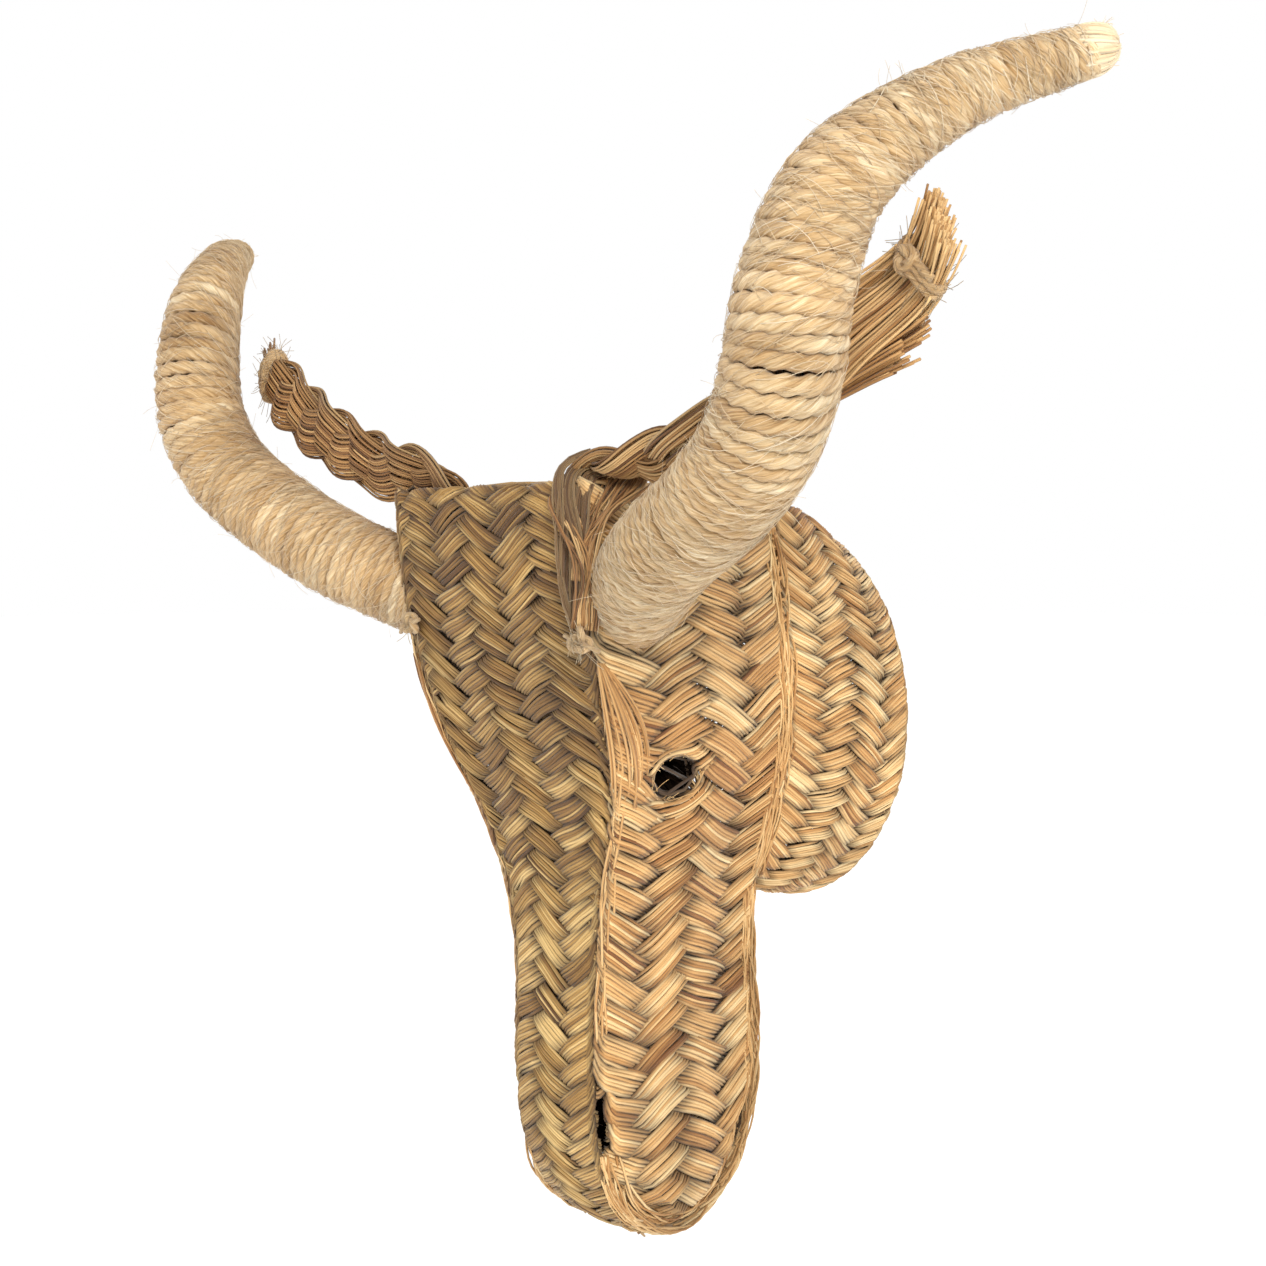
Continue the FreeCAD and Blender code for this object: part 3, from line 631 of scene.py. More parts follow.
def strand(fibres, rng, chart, slope, origin, left, right, ends, pitch, column, count, hole,
           tone_shift, sign):
    """One flat bundle of straws across a plait. Its ends fold round the edge or tuck in."""
    inner_left = left + (TAIL if ends[0] == "fold" else 0)
    inner_right = right - (TAIL if ends[1] == "fold" else 0)
    if inner_right - inner_left < 0.1:
        return
    span = pitch * (1.0 + 0.08 * rng.random())
    order = (np.arange(count) + 0.5) / count - 0.5 + rng.normal(0, 0.012, count)
    # a straw dives where the crossing bundle's edge meets it, so the places shift across the bundle
    shift = slope * order[:, None] * span / (2 * pitch)
    parts = (-0.09, 0.09, 0.3, 0.5, 0.7)
    if hole is not None and abs(origin + slope * pitch * hole[0] / column - hole[1]) < 3.2 * pitch:
        parts = (-0.09, 0, 0.09, 0.16, 0.23, 0.3, 0.37, 0.44, 0.5, 0.57, 0.64, 0.7, 0.77, 0.84)
    stops = [k + part for k in range(-5, 9) for part in parts]
    stops = np.array([p for p in stops if inner_left + 0.3 < p < inner_right - 0.3])
    place = stops[None] - shift if len(stops) else np.zeros((count, 0))
    ones = np.ones((count, 1))
    across = np.concatenate([inner_left * ones, (inner_left + 0.05) * ones, place,
                             (inner_right - 0.05) * ones, inner_right * ones], 1)
    along = origin + slope * pitch * across
    lift = slope * wave(across + shift)
    for side, kind in enumerate(ends):
        if kind != "fold":
            continue
        outward = 1 if side else -1
        base = inner_right if side else inner_left
        turn = np.linspace(0, np.pi, 6)[1:]
        reach = TAIL * (0.5 + 0.65 * rng.random((count, 1)))
        extra = base + outward * reach * np.sin(turn)
        rise = outward * slope * (pitch * reach * np.sin(turn) + 0.4 * pitch * (1 - np.cos(turn)))
        extra_along = origin + slope * pitch * base + rise
        extra_lift = np.abs(wave(base)) * np.cos(turn) + 0 * reach
        pairs = ((across, extra), (along, extra_along), (lift, extra_lift))
        across, along, lift = (np.concatenate([kept, new] if side else [new[:, ::-1], kept], 1)
                               for kept, new in pairs)
    along = (along + 0.13 * pitch * np.sin(across * 1.7 + origin / 29 + sign)
             + 0.05 * pitch * np.sin(across * 4.1 - origin / 13))
    wobble = 0.3 * np.sin(across * rng.uniform(1.5, 4.0, (count, 1))
                          + rng.uniform(0, 6.3, (count, 1)))
    along = along + order[:, None] * span + wobble
    vary = rng.uniform(0.86, 1.22, (count, 1))
    funnel = 0.0
    if hole is not None:
        core = (*hole[:2], hole[2] * 0.9, hole[3] * 0.9)
        across, along = pushed_aside(across, along, column, core, vary)
        near = np.hypot((across * column - hole[0]) / hole[2], (along - hole[1]) / hole[3])
        funnel = np.clip((1.05 - near) / 0.24, 0, 1)
    point = chart(across, along)
    normal = normals_of(chart, across, along) * sign
    arch = 1 - (2 * order[:, None]) ** 2
    height = lift * THICKNESS * 0.37 + 0.45 * arch * np.sign(lift) - THICKNESS * 0.62
    height = height + rng.normal(0, 0.13, (count, 1))
    for side, kind in enumerate(ends):
        if kind == "fold":
            continue
        fade = np.array([1.0, 0.45]) * (2.4 if kind == "cut" else 1.2)
        if side:
            height[:, -2:] -= fade[::-1]
        else:
            height[:, :2] -= fade
    height = height - 3.0 * funnel ** 1.3
    line = point + normal * height[..., None]
    wide = span / count / 2 * math.cos(math.atan(pitch / column)) * 1.36
    wide = wide * rng.uniform(0.85, 1.15, (count, 1))
    bundle = rng.normal(0, 0.10)
    tone = 0.55 + tone_shift + bundle + rng.normal(0, 0.16, (count, 1))
    tone = np.where(rng.random((count, 1)) < 0.06, tone - 0.35, tone)
    # painted shade: darker where a straw dives under the crossing bundle, round the crossings, on a
    # bundle's outer straws, in the funnel round the eye hole and on each straw's underside
    deep = np.clip(-0.5 * lift + 0.02, 0, 1) + np.where(np.abs(lift) < 0.8, 0.42, 0)
    side_most = np.abs(order[:, None]) > 0.42
    deep = np.clip(deep + 0.22 * side_most + 1.1 * funnel, 0, 0.96)
    fibres.add(line, normal, wide, np.minimum(wide, 0.8) * 0.85, np.clip(tone, 0.02, 0.98), deep,
               under=0.72)


FACE_COLUMNS = 4.0
MUZZLE_END = 0.97


def make_face(side):
    """The face's plait with its eye hole and its slit beside the nose."""
    rng = np.random.default_rng(11 if side == "right" else 12)
    fibres = Fibres()

    def flat(across, along):
        """The side surface, bent inwards and ended where the muzzle rounds off."""
        point = face_point(across / FACE_COLUMNS * face_width(along), along)
        point[..., 0] -= np.clip((muzzle_share(point) - 0.62) / 0.34, 0, 1.2) ** 2 * 9
        short = np.sqrt(MUZZLE_END / np.maximum(muzzle_share(point), MUZZLE_END))
        y, z = point[..., 1], point[..., 2]
        point[..., 1] = MUZZLE[0] + (y - MUZZLE[0]) * short
        point[..., 2] = np.where(z < MUZZLE[1], MUZZLE[1] + (z - MUZZLE[1]) * short, z)
        return point

    def muzzle_share(point):
        drop = np.clip(MUZZLE[1] - point[..., 2], 0, None) / MUZZLE[3]
        deep = (point[..., 1] - MUZZLE[0]) / MUZZLE[2]
        return drop * drop + np.where(drop > 0, deep * deep, 0) * np.clip(drop * 3, 0, 1)

    chart = rolled(flat, 3.5)

    def slit(along):
        share = np.clip((CROWN_LEVEL - along - SLIT[0]) / (SLIT[1] - SLIT[0]), 0, 1)
        return 0.03 + SLIT[2] * np.sin(np.pi * share) / COLUMN

    def inside(across, along):
        return muzzle_share(chart(across, along)) < 0.93

    seam_y = float(stations_at(np.array([EYE[1]]))[1][0])
    hole = (EYE[0] - seam_y + 4, CROWN_LEVEL - EYE[1], EYE[2] * 0.98, EYE[3])
    weave(fibres, rng, chart, slit, even(FACE_COLUMNS - 0.03), length=318, pitch=12.4,
          column=COLUMN, hole=hole, inside=inside, sign=-1, start=-9)
    fibres.mesh_side(side, "face_plait", "gold", "straw_gold", "face_braid")
    make_eye(side, flat, hole, rng)
    make_edges(side, flat, rng)


def make_eye(side, chart, hole, rng):
    """Straw ends turned in round the eye, near black as painted shade, and the fuzz at its edge."""
    count = 200
    fibres = Fibres(4)
    angle = rng.uniform(0, TURN, (count, 1))
    share = np.linspace(0, 1, 5)[None]
    grow = 0.88 + rng.normal(0, 0.04, (count, 1)) - 0.12 * np.sin(share * np.pi / 2)
    cant = angle + rng.normal(0, 0.25, (count, 1)) * share
    across = (hole[0] + hole[2] * grow * np.cos(cant)) / COLUMN
    along = hole[1] + hole[3] * grow * np.sin(cant)
    point = chart(across, along)
    normal = -normals_of(chart, across, along)
    depth = rng.uniform(10, 16, (count, 1)) * share ** 1.2 + 4.5
    line = point - normal * depth[..., None]
    inward = np.stack([-np.cos(cant), 0 * cant, -np.sin(cant)], -1)
    # painted shade: the turned-in straws are near black and grow darker with depth
    fibres.add(line, inward + 0.01, 0.95, 0.5, 0.4 + rng.normal(0, 0.2, (count, 1)), 0.2 * share)
    fibres.mesh_side(side, "eye_lining", "shaded", "straw_gold")
    fibres = Fibres(4)
    angle = angle[:, 0]
    edge = chart((hole[0] + hole[2] * np.cos(angle)) / COLUMN, hole[1] + hole[3] * np.sin(angle))
    edge = edge - normal[:, 0] * 1.5
    tangent = unit_rows(np.stack([0 * angle, -np.sin(angle), np.cos(angle)], -1))
    hairs(fibres, rng, edge, normal[:, 0] * 0.4, tangent, 70, 6.0, 0.13, 0.7)
    fibres.mesh_side(side, "eye_edge", "gold", "straw_gold")


def edge_bundle(fibres, rng, chart, path, count, spread, radius, tone, lift, sign=-1):
    """Loose straws that follow an edge, path being (samples, 2) of across and along in mm."""
    run = run_along(path)
    for _ in range(count):
        length = rng.uniform(45, 110)
        begin = rng.uniform(-20, run[-1] - 15)
        places = np.arange(max(begin, 0), min(begin + length, run[-1]), 5.0)
        if len(places) < 4:
            continue
        share = np.linspace(0, 1, len(places))
        away = rng.uniform(-1, 1) * spread
        away = away + 0.4 * spread * np.sin(places / rng.uniform(9, 22) + rng.uniform(0, 6))
        path_across = np.interp(places, run, path[:, 0])
        path_along = np.interp(places, run, path[:, 1])
        turn = np.arctan2(np.gradient(path_along), np.gradient(path_across))
        across, along = path_across - away * np.sin(turn), path_along + away * np.cos(turn)
        point = chart(across[None], along[None])
        normal = normals_of(chart, across[None], along[None]) * sign
        high = (lift * np.sin(places / rng.uniform(5, 9) + rng.uniform(0, 6))
                - 1.9 * (1 - np.sin(np.pi * share) ** 0.4) - 0.9 + rng.normal(0, 0.2))
        # painted shade: a little on every straw, more on its underside
        fibres.add(point + normal * high[None, :, None], normal, radius, radius * 0.9,
                   np.clip(tone + rng.normal(0, 0.17), 0.05, 0.95), 0.05, under=0.45)


FACE_EDGE = 95.4


def make_edges(side, flat, rng):
    """Straws drawn together along the seams and round the muzzle."""
    fibres = Fibres()

    def chart(across, along):
        return flat(np.clip(across, 0.4, FACE_EDGE) / COLUMN, along)

    def rear_chart(across, along):
        past = np.clip(across - FACE_EDGE, 0, None)
        point = flat(np.minimum(across, FACE_EDGE) / COLUMN, along)
        return point + np.stack([0.2 * past, 0.98 * past, 0 * past], -1)

    def straight(across, first, last):
        down = np.arange(first, last, 4.0)
        return np.column_stack([across + 0 * down, down])

    # beside the brow seam, over the rear seam with the jaw plait, then round the muzzle's end
    edge_bundle(fibres, rng, chart, straight(2.6, 48.0, 230.0), count=26, spread=3.6,
                radius=0.55, tone=0.52, lift=1.1)
    edge_bundle(fibres, rng, rear_chart, straight(95.2, 0.0, 176.0), count=95, spread=4.2,
                radius=0.6, tone=0.5, lift=1.3)
    path = []
    tries = np.linspace(0.5, 95.5, 191)
    for turn in np.radians(np.arange(205, 360, 5)):
        along = CROWN_LEVEL - (MUZZLE[1] + MUZZLE[3] * 0.96 * math.sin(turn))
        depth = MUZZLE[0] + MUZZLE[2] * 0.96 * math.cos(turn)
        found = flat(tries / COLUMN, np.full(len(tries), along))
        path.append((tries[np.argmin(np.abs(found[:, 1] - depth))], along))
    path.extend((93, along) for along in np.arange(240.0, 160.0, -8.0))
    edge_bundle(fibres, rng, chart, np.array(path), count=160, spread=4.2, radius=0.58,
                tone=0.56, lift=1.4)
    # over the joint between the face and the strip that curls round the muzzle
    path = straight(23.4, MUZZLE_RUN + 34.0, LINE_RUN[-1] - 8.0)
    edge_bundle(fibres, rng, strip_point, path, count=170, spread=3.2, radius=0.6, tone=0.62,
                lift=1.2)
    fibres.mesh_side(side, "edge_straws", "gold", "straw_gold")


def make_strip(name, start, finish, seed, node):
    """One length of the strip that runs down the front and round the muzzle."""
    rng = np.random.default_rng(seed)
    fibres = Fibres()
    halves = np.array([(0, 2.9), (82, 2.78), (108, 2.6), (140, 2.1), (172, 1.66), (203, 1.5),
                       (330, 1.5), (520, 1.5)])

    def count(along):
        return np.interp(along, halves[:, 0], halves[:, 1])

    def flat(across, along):
        return strip_point((across - 0.5) / count(along) * strip_half(along), along)

    # the strip grows lighter from the brow down to the chin: painted shade, darkest on the brow
    weave(fibres, rng, rolled(flat, 4.0), lambda v: 0.54 - count(v), lambda v: 0.46 + count(v),
          length=finish, pitch=11.2, column=NARROW_COLUMN, start=start, sign=-1,
          tone_shift=lambda v: float(np.interp(v, (0, 120, 260), (-0.14, -0.02, 0.14))))
    fibres.mesh(name, "olive", "straw_olive", [node])


def make_crown():
    """The plait that closes the top of the head, and the straws bound along its rim."""
    rng = np.random.default_rng(31)
    fibres = Fibres()

    def chart(across, along):
        """The ends past the rim turn down inside it."""
        kept = np.minimum(along, CROWN_TURN_DOWN)
        over = along - kept
        point = crown_point((across - 2.5) / 2.5 * crown_half(kept), kept)
        return point + np.stack([0 * over, 0.1 * over, -0.85 * over], -1)

    weave(fibres, rng, chart, even(0.04), even(4.96), length=CROWN_LENGTH, pitch=11.5,
          column=NARROW_COLUMN, start=3.0, tone_shift=-0.05)
    fibres.mesh("crown_plait", "olive", "straw_olive", ["crown_braid"])
    hem = Fibres()
    places = np.arange(-28.0, 29.0, 4.0)
    edge_bundle(hem, rng, crown_point, np.column_stack([places, 181.5 + 0 * places]), count=60,
                spread=3.0, radius=0.6, tone=0.5, lift=1.5, sign=1)
    hem.mesh("crown_hem", "olive", "straw_olive", [])


def make_jaw(side):
    """The plait from the face's rear edge to the rim."""
    rng = np.random.default_rng(41 if side == "right" else 42)
    fibres = Fibres()

    def flat(across, along):
        return collar_point(across / FACE_COLUMNS, along)

    weave(fibres, rng, rolled(flat, 4.0), even(0.05), even(FACE_COLUMNS - 0.03),
          length=float(COLLAR_RUN[-1]), pitch=9.6, column=NARROW_COLUMN, sign=-1, strands=7,
          start=-11, tone_shift=0.07)
    fibres.mesh_side(side, "jaw_plait", "gold", "straw_gold", "jaw_braid")


# ---- lines in space

# points on the right horn's middle line, with its thickness as a share of the thickest
HORN = np.array([
    (54.5, -159.5, -37.5, 0.97), (62, -164, -34, 0.97), (99, -186, -17, 0.98), (134, -195, 1, 0.99),
    (162, -204, 21, 1.0), (176, -210, 44, 1.0), (182, -210, 70, 0.96), (192, -200, 102, 0.84),
    (217, -175, 128, 0.60), (250, -146, 142, 0.42),
])
HORN_RADIUS = 20.0
# points on each ear's middle line, with the strap's turn about it in degrees
EARS = {
    "right": np.array([
        (48, -174, 15.5, 90), (76, -175, 17, 65), (108, -176, 22, 35), (142, -175, 38, 15),
        (175, -174, 57, 0), (203, -174, 74, 0), (221, -180, 91, 0),
    ], float),
    "left": np.array([
        (48, -174, 15.5, 90), (78, -179, 22, 50), (110, -183, 36, 20), (138, -182, 51, 0),
        (164, -179, 68, 0), (184, -168, 89, 0),
    ], float),
}
KNOT = np.array([56.5, -189.5, -56.0])
BINDING = np.array([0.0, -138.0, -49.0])


def spline(points, step=1.0):
    """A smooth line through the points, with every column blended, at an even step in mm."""
    points = np.asarray(points, float)
    padded = np.vstack([2 * points[0] - points[1], points, 2 * points[-1] - points[-2]])
    rows = []
    for index in range(1, len(padded) - 2):
        before, first, second, after = padded[index - 1:index + 3]
        t = np.linspace(0, 1, 40, endpoint=False)[:, None]
        rows.append(0.5 * (2 * first + (second - before) * t
                           + (2 * before - 5 * first + 4 * second - after) * t ** 2
                           + (3 * first - before - 3 * second + after) * t ** 3))
    dense = np.vstack(rows + [points[-1:]])
    run = run_along(dense[:, :3])
    even = np.arange(0, run[-1], step)
    return np.column_stack([np.interp(even, run, dense[:, i]) for i in range(dense.shape[1])])


def frames_along(line, first=(0, 1, 0)):
    """Directions along a line and square to it, carried along it without twisting."""
    way = unit_rows(np.gradient(line, axis=0))
    side = np.zeros_like(line)
    current = np.array(first, float)
    for index, direction in enumerate(way):
        current = current - direction * current.dot(direction)
        current /= np.linalg.norm(current)
        side[index] = current
    return way, side, np.cross(way, side)


def read_rows(table, places):
    """Rows of a table whose step is 1 mm, read at the places in mm."""
    index = np.arange(len(table))
    return np.stack([np.interp(places, index, table[:, i]) for i in range(table.shape[1])], -1)


CORD_TWIST = 9.0


def cord(fibres, line, radius, tone):
    """One twisted cord along a line given as (samples, 3)."""
    line = np.asarray(line, float)
    up = frames_along(line, (0.31, 0.2, 0.93))[2]
    twist = (run_along(line) / CORD_TWIST * TURN)[None]
    fibres.add(line[None], up[None], radius, radius, tone, 0.0, twist=twist, lobes=(0.12, 2))


def hairs(fibres, rng, roots, outward, along, count, longest, radius=0.11, tone=0.75):
    """Fine loose hairs that stand off a surface."""
    pick = rng.integers(0, len(roots), count)
    length = longest * rng.uniform(0.15, 1.0, count) ** 2.0 + 2.0
    share = np.linspace(0, 1, 5)[None, :, None]
    lean = unit_rows(along[pick] * rng.choice([-1, 1], (count, 1)) + outward[pick]
                     * rng.uniform(0.1, 0.9, (count, 1)) + rng.normal(0, 0.35, (count, 3)))
    bend = rng.normal(0, 0.22, (count, 3)) + outward[pick] * -0.18
    line = (roots[pick][:, None] + lean[:, None] * length[:, None, None] * share
            + bend[:, None] * length[:, None, None] * share ** 2)
    up = np.broadcast_to(outward[pick][:, None] + 0.01, line.shape)
    fibres.add(line, up, radius, radius, tone + rng.normal(0, 0.12, (count, 1)), 0.0)


# ---- horns


HORN_PLACES = (0, 110, 150, 215, 250, 310)
HORN_PITCHES = (3.5, 3.7, 5.3, 5.0, 3.5, 3.1)
HORN_CORD_TWIST = 15
HORN_CORD_HEIGHTS = (2.1, 2.1, 2.5, 2.4, 1.9, 1.6)


def make_horn(side):
    """The cord wound round the horn, its loose fibres, its pale end and the straw inside."""
    rng = np.random.default_rng(51 if side == "right" else 52)
    table = spline(HORN)
    centre = table[:, :3]
    radius = table[:, 3] * HORN_RADIUS
    way, first, second = frames_along(centre)
    length = len(table) - 1.0

    def radius_at(place):
        return np.interp(place, np.arange(len(radius)), radius)

    def square(place, angle):
        return (read_rows(first, place) * np.cos(angle)[..., None]
                + read_rows(second, place) * np.sin(angle)[..., None])

    def wandering(turns, size, count):
        return np.interp(turns, np.arange(count), rng.normal(0, size, count))

    jitter = rng.normal(0, 1, 400)
    place, angle = 1.0, 0.0
    places, angles = [], []
    while place < length - 1:
        loose = np.interp(angle / TURN, np.arange(400), jitter)
        pitch = np.interp(place, HORN_PLACES, HORN_PITCHES) * (1 + 0.12 * loose)
        places.append(place)
        angles.append(angle)
        step = 2.0 / radius_at(place)
        angle += step
        place += pitch * step / TURN
    places, angles = np.array(places), np.array(angles)
    turns = angles / TURN
    out = square(places, angles)
    wander = wandering(turns * 3.1, 0.5, 1000)
    rounding = 1 - 0.12 * np.clip(1 - places / 9, 0, 1) ** 2
    high = np.interp(places, HORN_PLACES, HORN_CORD_HEIGHTS)
    wide = np.gradient(places, turns) / 2 * (1.32 - 0.22 * np.clip(wander, 0, 1))
    drift = wandering(turns * 2.7 + 300, 0.3, 1300)
    line = (read_rows(centre, places) + read_rows(way, places) * drift[:, None]
            + out * (radius_at(places) * rounding - high + wander * 0.3)[:, None])
    fibres = Fibres(10)
    tone = (0.62 if side == "right" else 0.55) + 0.14 * wandering(turns * 4.7, 0.8, 1000)
    # painted shade on the underside of the cord, between the windings
    fibres.add(line[None], out[None], wide[None], high[None], np.clip(tone, 0.1, 0.95)[None], 0.0,
               under=0.55, twist=(run_along(line) / HORN_CORD_TWIST * TURN)[None],
               lobes=(0.17, 2))
    fibres.mesh_side(side, "horn_winding", "sisal", "sisal_cord", "horn_wrap")
    fuzz = Fibres(3)
    surface = line + out * high[:, None]
    along = unit_rows(np.gradient(line, axis=0))
    hairs(fuzz, rng, surface, out, along, 150, 11.0, 0.07, 0.6)
    # fibres that lie flat along and across the windings
    count = 1500
    begin = rng.uniform(2, length - 8, (count, 1))
    share = np.linspace(0, 1, 6)[None]
    reach = rng.uniform(6, 24, (count, 1)) * share
    slant = rng.normal(0.35, 0.35, (count, 1)) + rng.normal(0, 0.3, (count, 1)) * share
    place = np.clip(begin + reach * slant, 1, length - 3)
    angle = rng.uniform(0, TURN, (count, 1)) + reach / radius_at(place)
    outward = square(place, angle)
    above = radius_at(place) + 0.05 + rng.uniform(0, 0.8, (count, 1)) * np.sin(np.pi * share)
    fuzz.add(read_rows(centre, place) + outward * above[..., None], outward, 0.13, 0.1,
             0.45 + rng.normal(0, 0.25, (count, 1)), 0.0)
    # the loose fibres take the pale straw: lighter than the cord, partly as painted highlight on
    # the fine fibres
    fuzz.mesh_side(side, "horn_fuzz", "pale", "sisal_cord")
    tip(side, centre[-1], way[-1], first[-1], second[-1], radius[-1], rng)
    core = Fibres()
    places = np.append(np.arange(1.5, length - 2, 11.0), length - 2)
    for share, count in ((0.71, 42), (0.56, 30), (0.4, 18), (0.22, 9)):
        angle = np.arange(count)[:, None] * TURN / count + 0.3 * np.sin(places / 60)[None]
        reach = share * radius_at(places)[None] * rng.uniform(0.96, 1.03, (count, 1))
        out = square(places, angle)
        line = read_rows(centre, places)[None] + out * reach[..., None]
        thick = 1.15 * np.interp(places, (0, 200, length), (1, 0.8, 0.45))[None]
        # painted shade: the straw inside the horn is darkened a little
        core.add(line, out, thick, thick, 0.2 + rng.normal(0, 0.12, (count, 1)), 0.2)
    core.mesh_side(side, "horn_bundle", "brown", "core_straw", "horn_core")


def tip(side, end, way, first, second, radius, rng):
    """The winding's end: fibres gathered over the end into a pale worn cap."""
    count = 130
    fibres = Fibres(4)
    angle = np.arange(count) * 2.399
    start = rng.uniform(-6, -2, count)
    turn = np.linspace(0, 1, 8)[None]
    swirl = angle[:, None] + 0.5 * turn
    reach = (radius - 0.2) * np.cos(turn * np.pi / 2) ** 0.6 * rng.uniform(0.93, 1.03, (count, 1))
    rise = (start[:, None] * (1 - turn)
            + 8.2 * np.sin(turn * np.pi / 2) * rng.uniform(0.9, 1.05, (count, 1)))
    out = first * np.cos(swirl)[..., None] + second * np.sin(swirl)[..., None]
    line = end + out * reach[..., None] + way * rise[..., None]
    up = unit_rows(out + way * turn[..., None])
    fibres.add(line, up, 0.85, 0.5, 0.62 + rng.normal(0, 0.12, (count, 1)), 0.0)
    roots = line[:, 4]
    hairs(fibres, rng, roots, up[:, 4], np.broadcast_to(way, roots.shape), 90, 3.5, 0.09, 0.7)
    fibres.mesh_side(side, "horn_cap", "pale", "cord_end", "horn_tip")


# ---- ears


def make_ear(side):
    """A strap of three plaited bundles, loose towards its tie, with a tuft past it."""
    rng = np.random.default_rng(61 if side == "right" else 62)
    table = spline(np.vstack([[(34, -171, 2, EARS[side][0, 3])], EARS[side]]))
    runs = [np.argmin(np.linalg.norm(table[:, :3] - row[:3], axis=1)) for row in EARS[side]]
    tie_at = runs[-2]
    centre = table[:, :3]
    way = unit_rows(np.gradient(centre, axis=0))
    upright = unit_rows(np.array([0, 0, 1.0]) - way * way[:, 2:3])
    turn = np.radians(table[:, 3])[:, None] * (1 if side == "right" else 0.45)
    across = upright * np.cos(turn) + np.cross(way, upright) * np.sin(turn)
    normal = np.cross(way, across)

    def at(place, lateral, above):
        return (read_rows(centre, place) + read_rows(across, place) * lateral[..., None]
                + read_rows(normal, place) * above[..., None])

    straws = Fibres(4)
    place = np.arange(0, tie_at + 3, 2.6)
    right = side == "right"
    loose_from = tie_at - (66 if right else 7)
    loose = np.clip((place - loose_from) / 24, 0, 1)
    loose = loose * loose * (3 - 2 * loose)
    per, swing, width, repeat = (30, 6.0, 16.0, 92) if right else (38, 4.9, 21.5, 80)
    sink = 1 - (0.4 if right else 0.1) * np.exp(-place / 24)
    for number in range(3):
        phase = place / repeat * TURN + number * TURN / 3
        middle = swing * (np.sin(phase) + 0.13 * np.sin(3 * phase)) * sink
        angle = np.arctan(swing * TURN / repeat * np.cos(phase))
        rise = 3.2 * np.sin(2 * phase)
        half = per // 2
        lane = ((np.arange(per) % half) + 0.5) / half - 0.5 + rng.normal(0, 0.015, per)
        layer = np.where(np.arange(per) < half, 1.0, -1.0)
        braided = middle[None] + lane[:, None] * width * (np.cos(angle) * sink)[None]
        slip = -lane[:, None] * width * np.sin(angle)[None]
        spread = ((number + lane + 0.5) / 3 - 0.5)[:, None] * np.interp(
            place, (loose_from, tie_at), (33, 24) if right else (30, 20))[None]
        lateral = braided * (1 - loose) + spread * loose
        bulge = np.sqrt(np.clip(1 - (2 * lane[:, None]) ** 2, 0, 1)) * 1.7
        above = (rise[None] + layer[:, None] * (0.3 + bulge)) * (1 - loose)
        above = above + (layer[:, None] * 1.4 + rng.normal(0, 0.8, (per, 1))) * loose
        drift = 0.5 * np.sin(place[None] * rng.uniform(0.03, 0.12, (per, 1))
                             + rng.uniform(0, 6, (per, 1)))
        where = np.clip(place[None] + slip * (1 - loose), 0, len(centre) - 1)
        line = at(where, lateral + drift, above)
        tone = (0.68 if right else 0.47) + rng.normal(0, 0.2, (per, 1)) + rng.normal(0, 0.05)
        tone = tone + (0.22 * loose[None] if right else 0)
        # painted shade: darker for straws near the bundle's middle, between its two layers, and on
        # each straw's underside
        deep = np.clip(0.5 - np.abs(above - rise[None] * (1 - loose)) * 0.25, 0, 0.4)
        straws.add(line, read_rows(normal, where), 0.62, 0.55, np.clip(tone, 0.05, 0.95), deep,
                   under=0.4)
    straws.mesh_side(side, "ear_plait", "brown", "straw_brown", "ear_strap")

    tuft = Fibres(4)
    count = 150 if right else 80
    end = len(centre) - 1
    share = np.linspace(0, 1, 6)[None]
    lane = rng.uniform(-1, 1, (count, 1))
    layer = rng.normal(0, 1, (count, 1))
    if right:
        reach = rng.uniform(0.74, 0.86, (count, 1)) + 0.16 * lane
        flare = 10.5 + 0.5 * share
        lean = 3.0 * share ** 1.5
    else:
        reach = rng.uniform(0.25, 0.75, (count, 1))
        flare = 9.0 - 0.5 * share
        lean = 0.0
    place = tie_at + share * reach * (end - tie_at)
    lateral = lane * flare + lean + rng.normal(0, 0.9, (count, 1)) * share ** 2
    above = layer * (1.5 + 0.9 * share)
    line = at(place, lateral, above)
    tone = (0.88 if right else 0.5) + rng.normal(0, 0.2, (count, 1))
    # painted shade: a little on every straw, more on its underside
    tuft.add(line, read_rows(normal, place), 0.58, 0.5, np.clip(tone, 0.02, 0.95), 0.05, under=0.35)
    if right:
        # more straws of the plait run along its lower edge and fray out short of the tie
        count = 70
        share = np.linspace(0, 1, 8)[None]
        lane = rng.uniform(0, 1, (count, 1))
        start = tie_at - rng.uniform(52, 64, (count, 1))
        place = start + share * (40 + 14 * (1 - lane) - rng.uniform(0, 9, (count, 1)))
        lateral = -9 - lane * (5 + 9 * share) - 1.5 * rng.random((count, 1)) * share ** 2
        above = rng.normal(-1.5, 1.3, (count, 1)) + 0 * share
        line = at(place, lateral, above)
        tone = 0.46 + rng.normal(0, 0.2, (count, 1)) + 0.14 * share
        # painted shade: a little on every straw, more on its underside
        tuft.add(line, read_rows(normal, place), 0.58, 0.5, np.clip(tone, 0.02, 0.95), 0.08,
                 under=0.35)
    tuft.mesh_side(side, "ear_straws", "brown", "straw_brown", "ear_tuft")

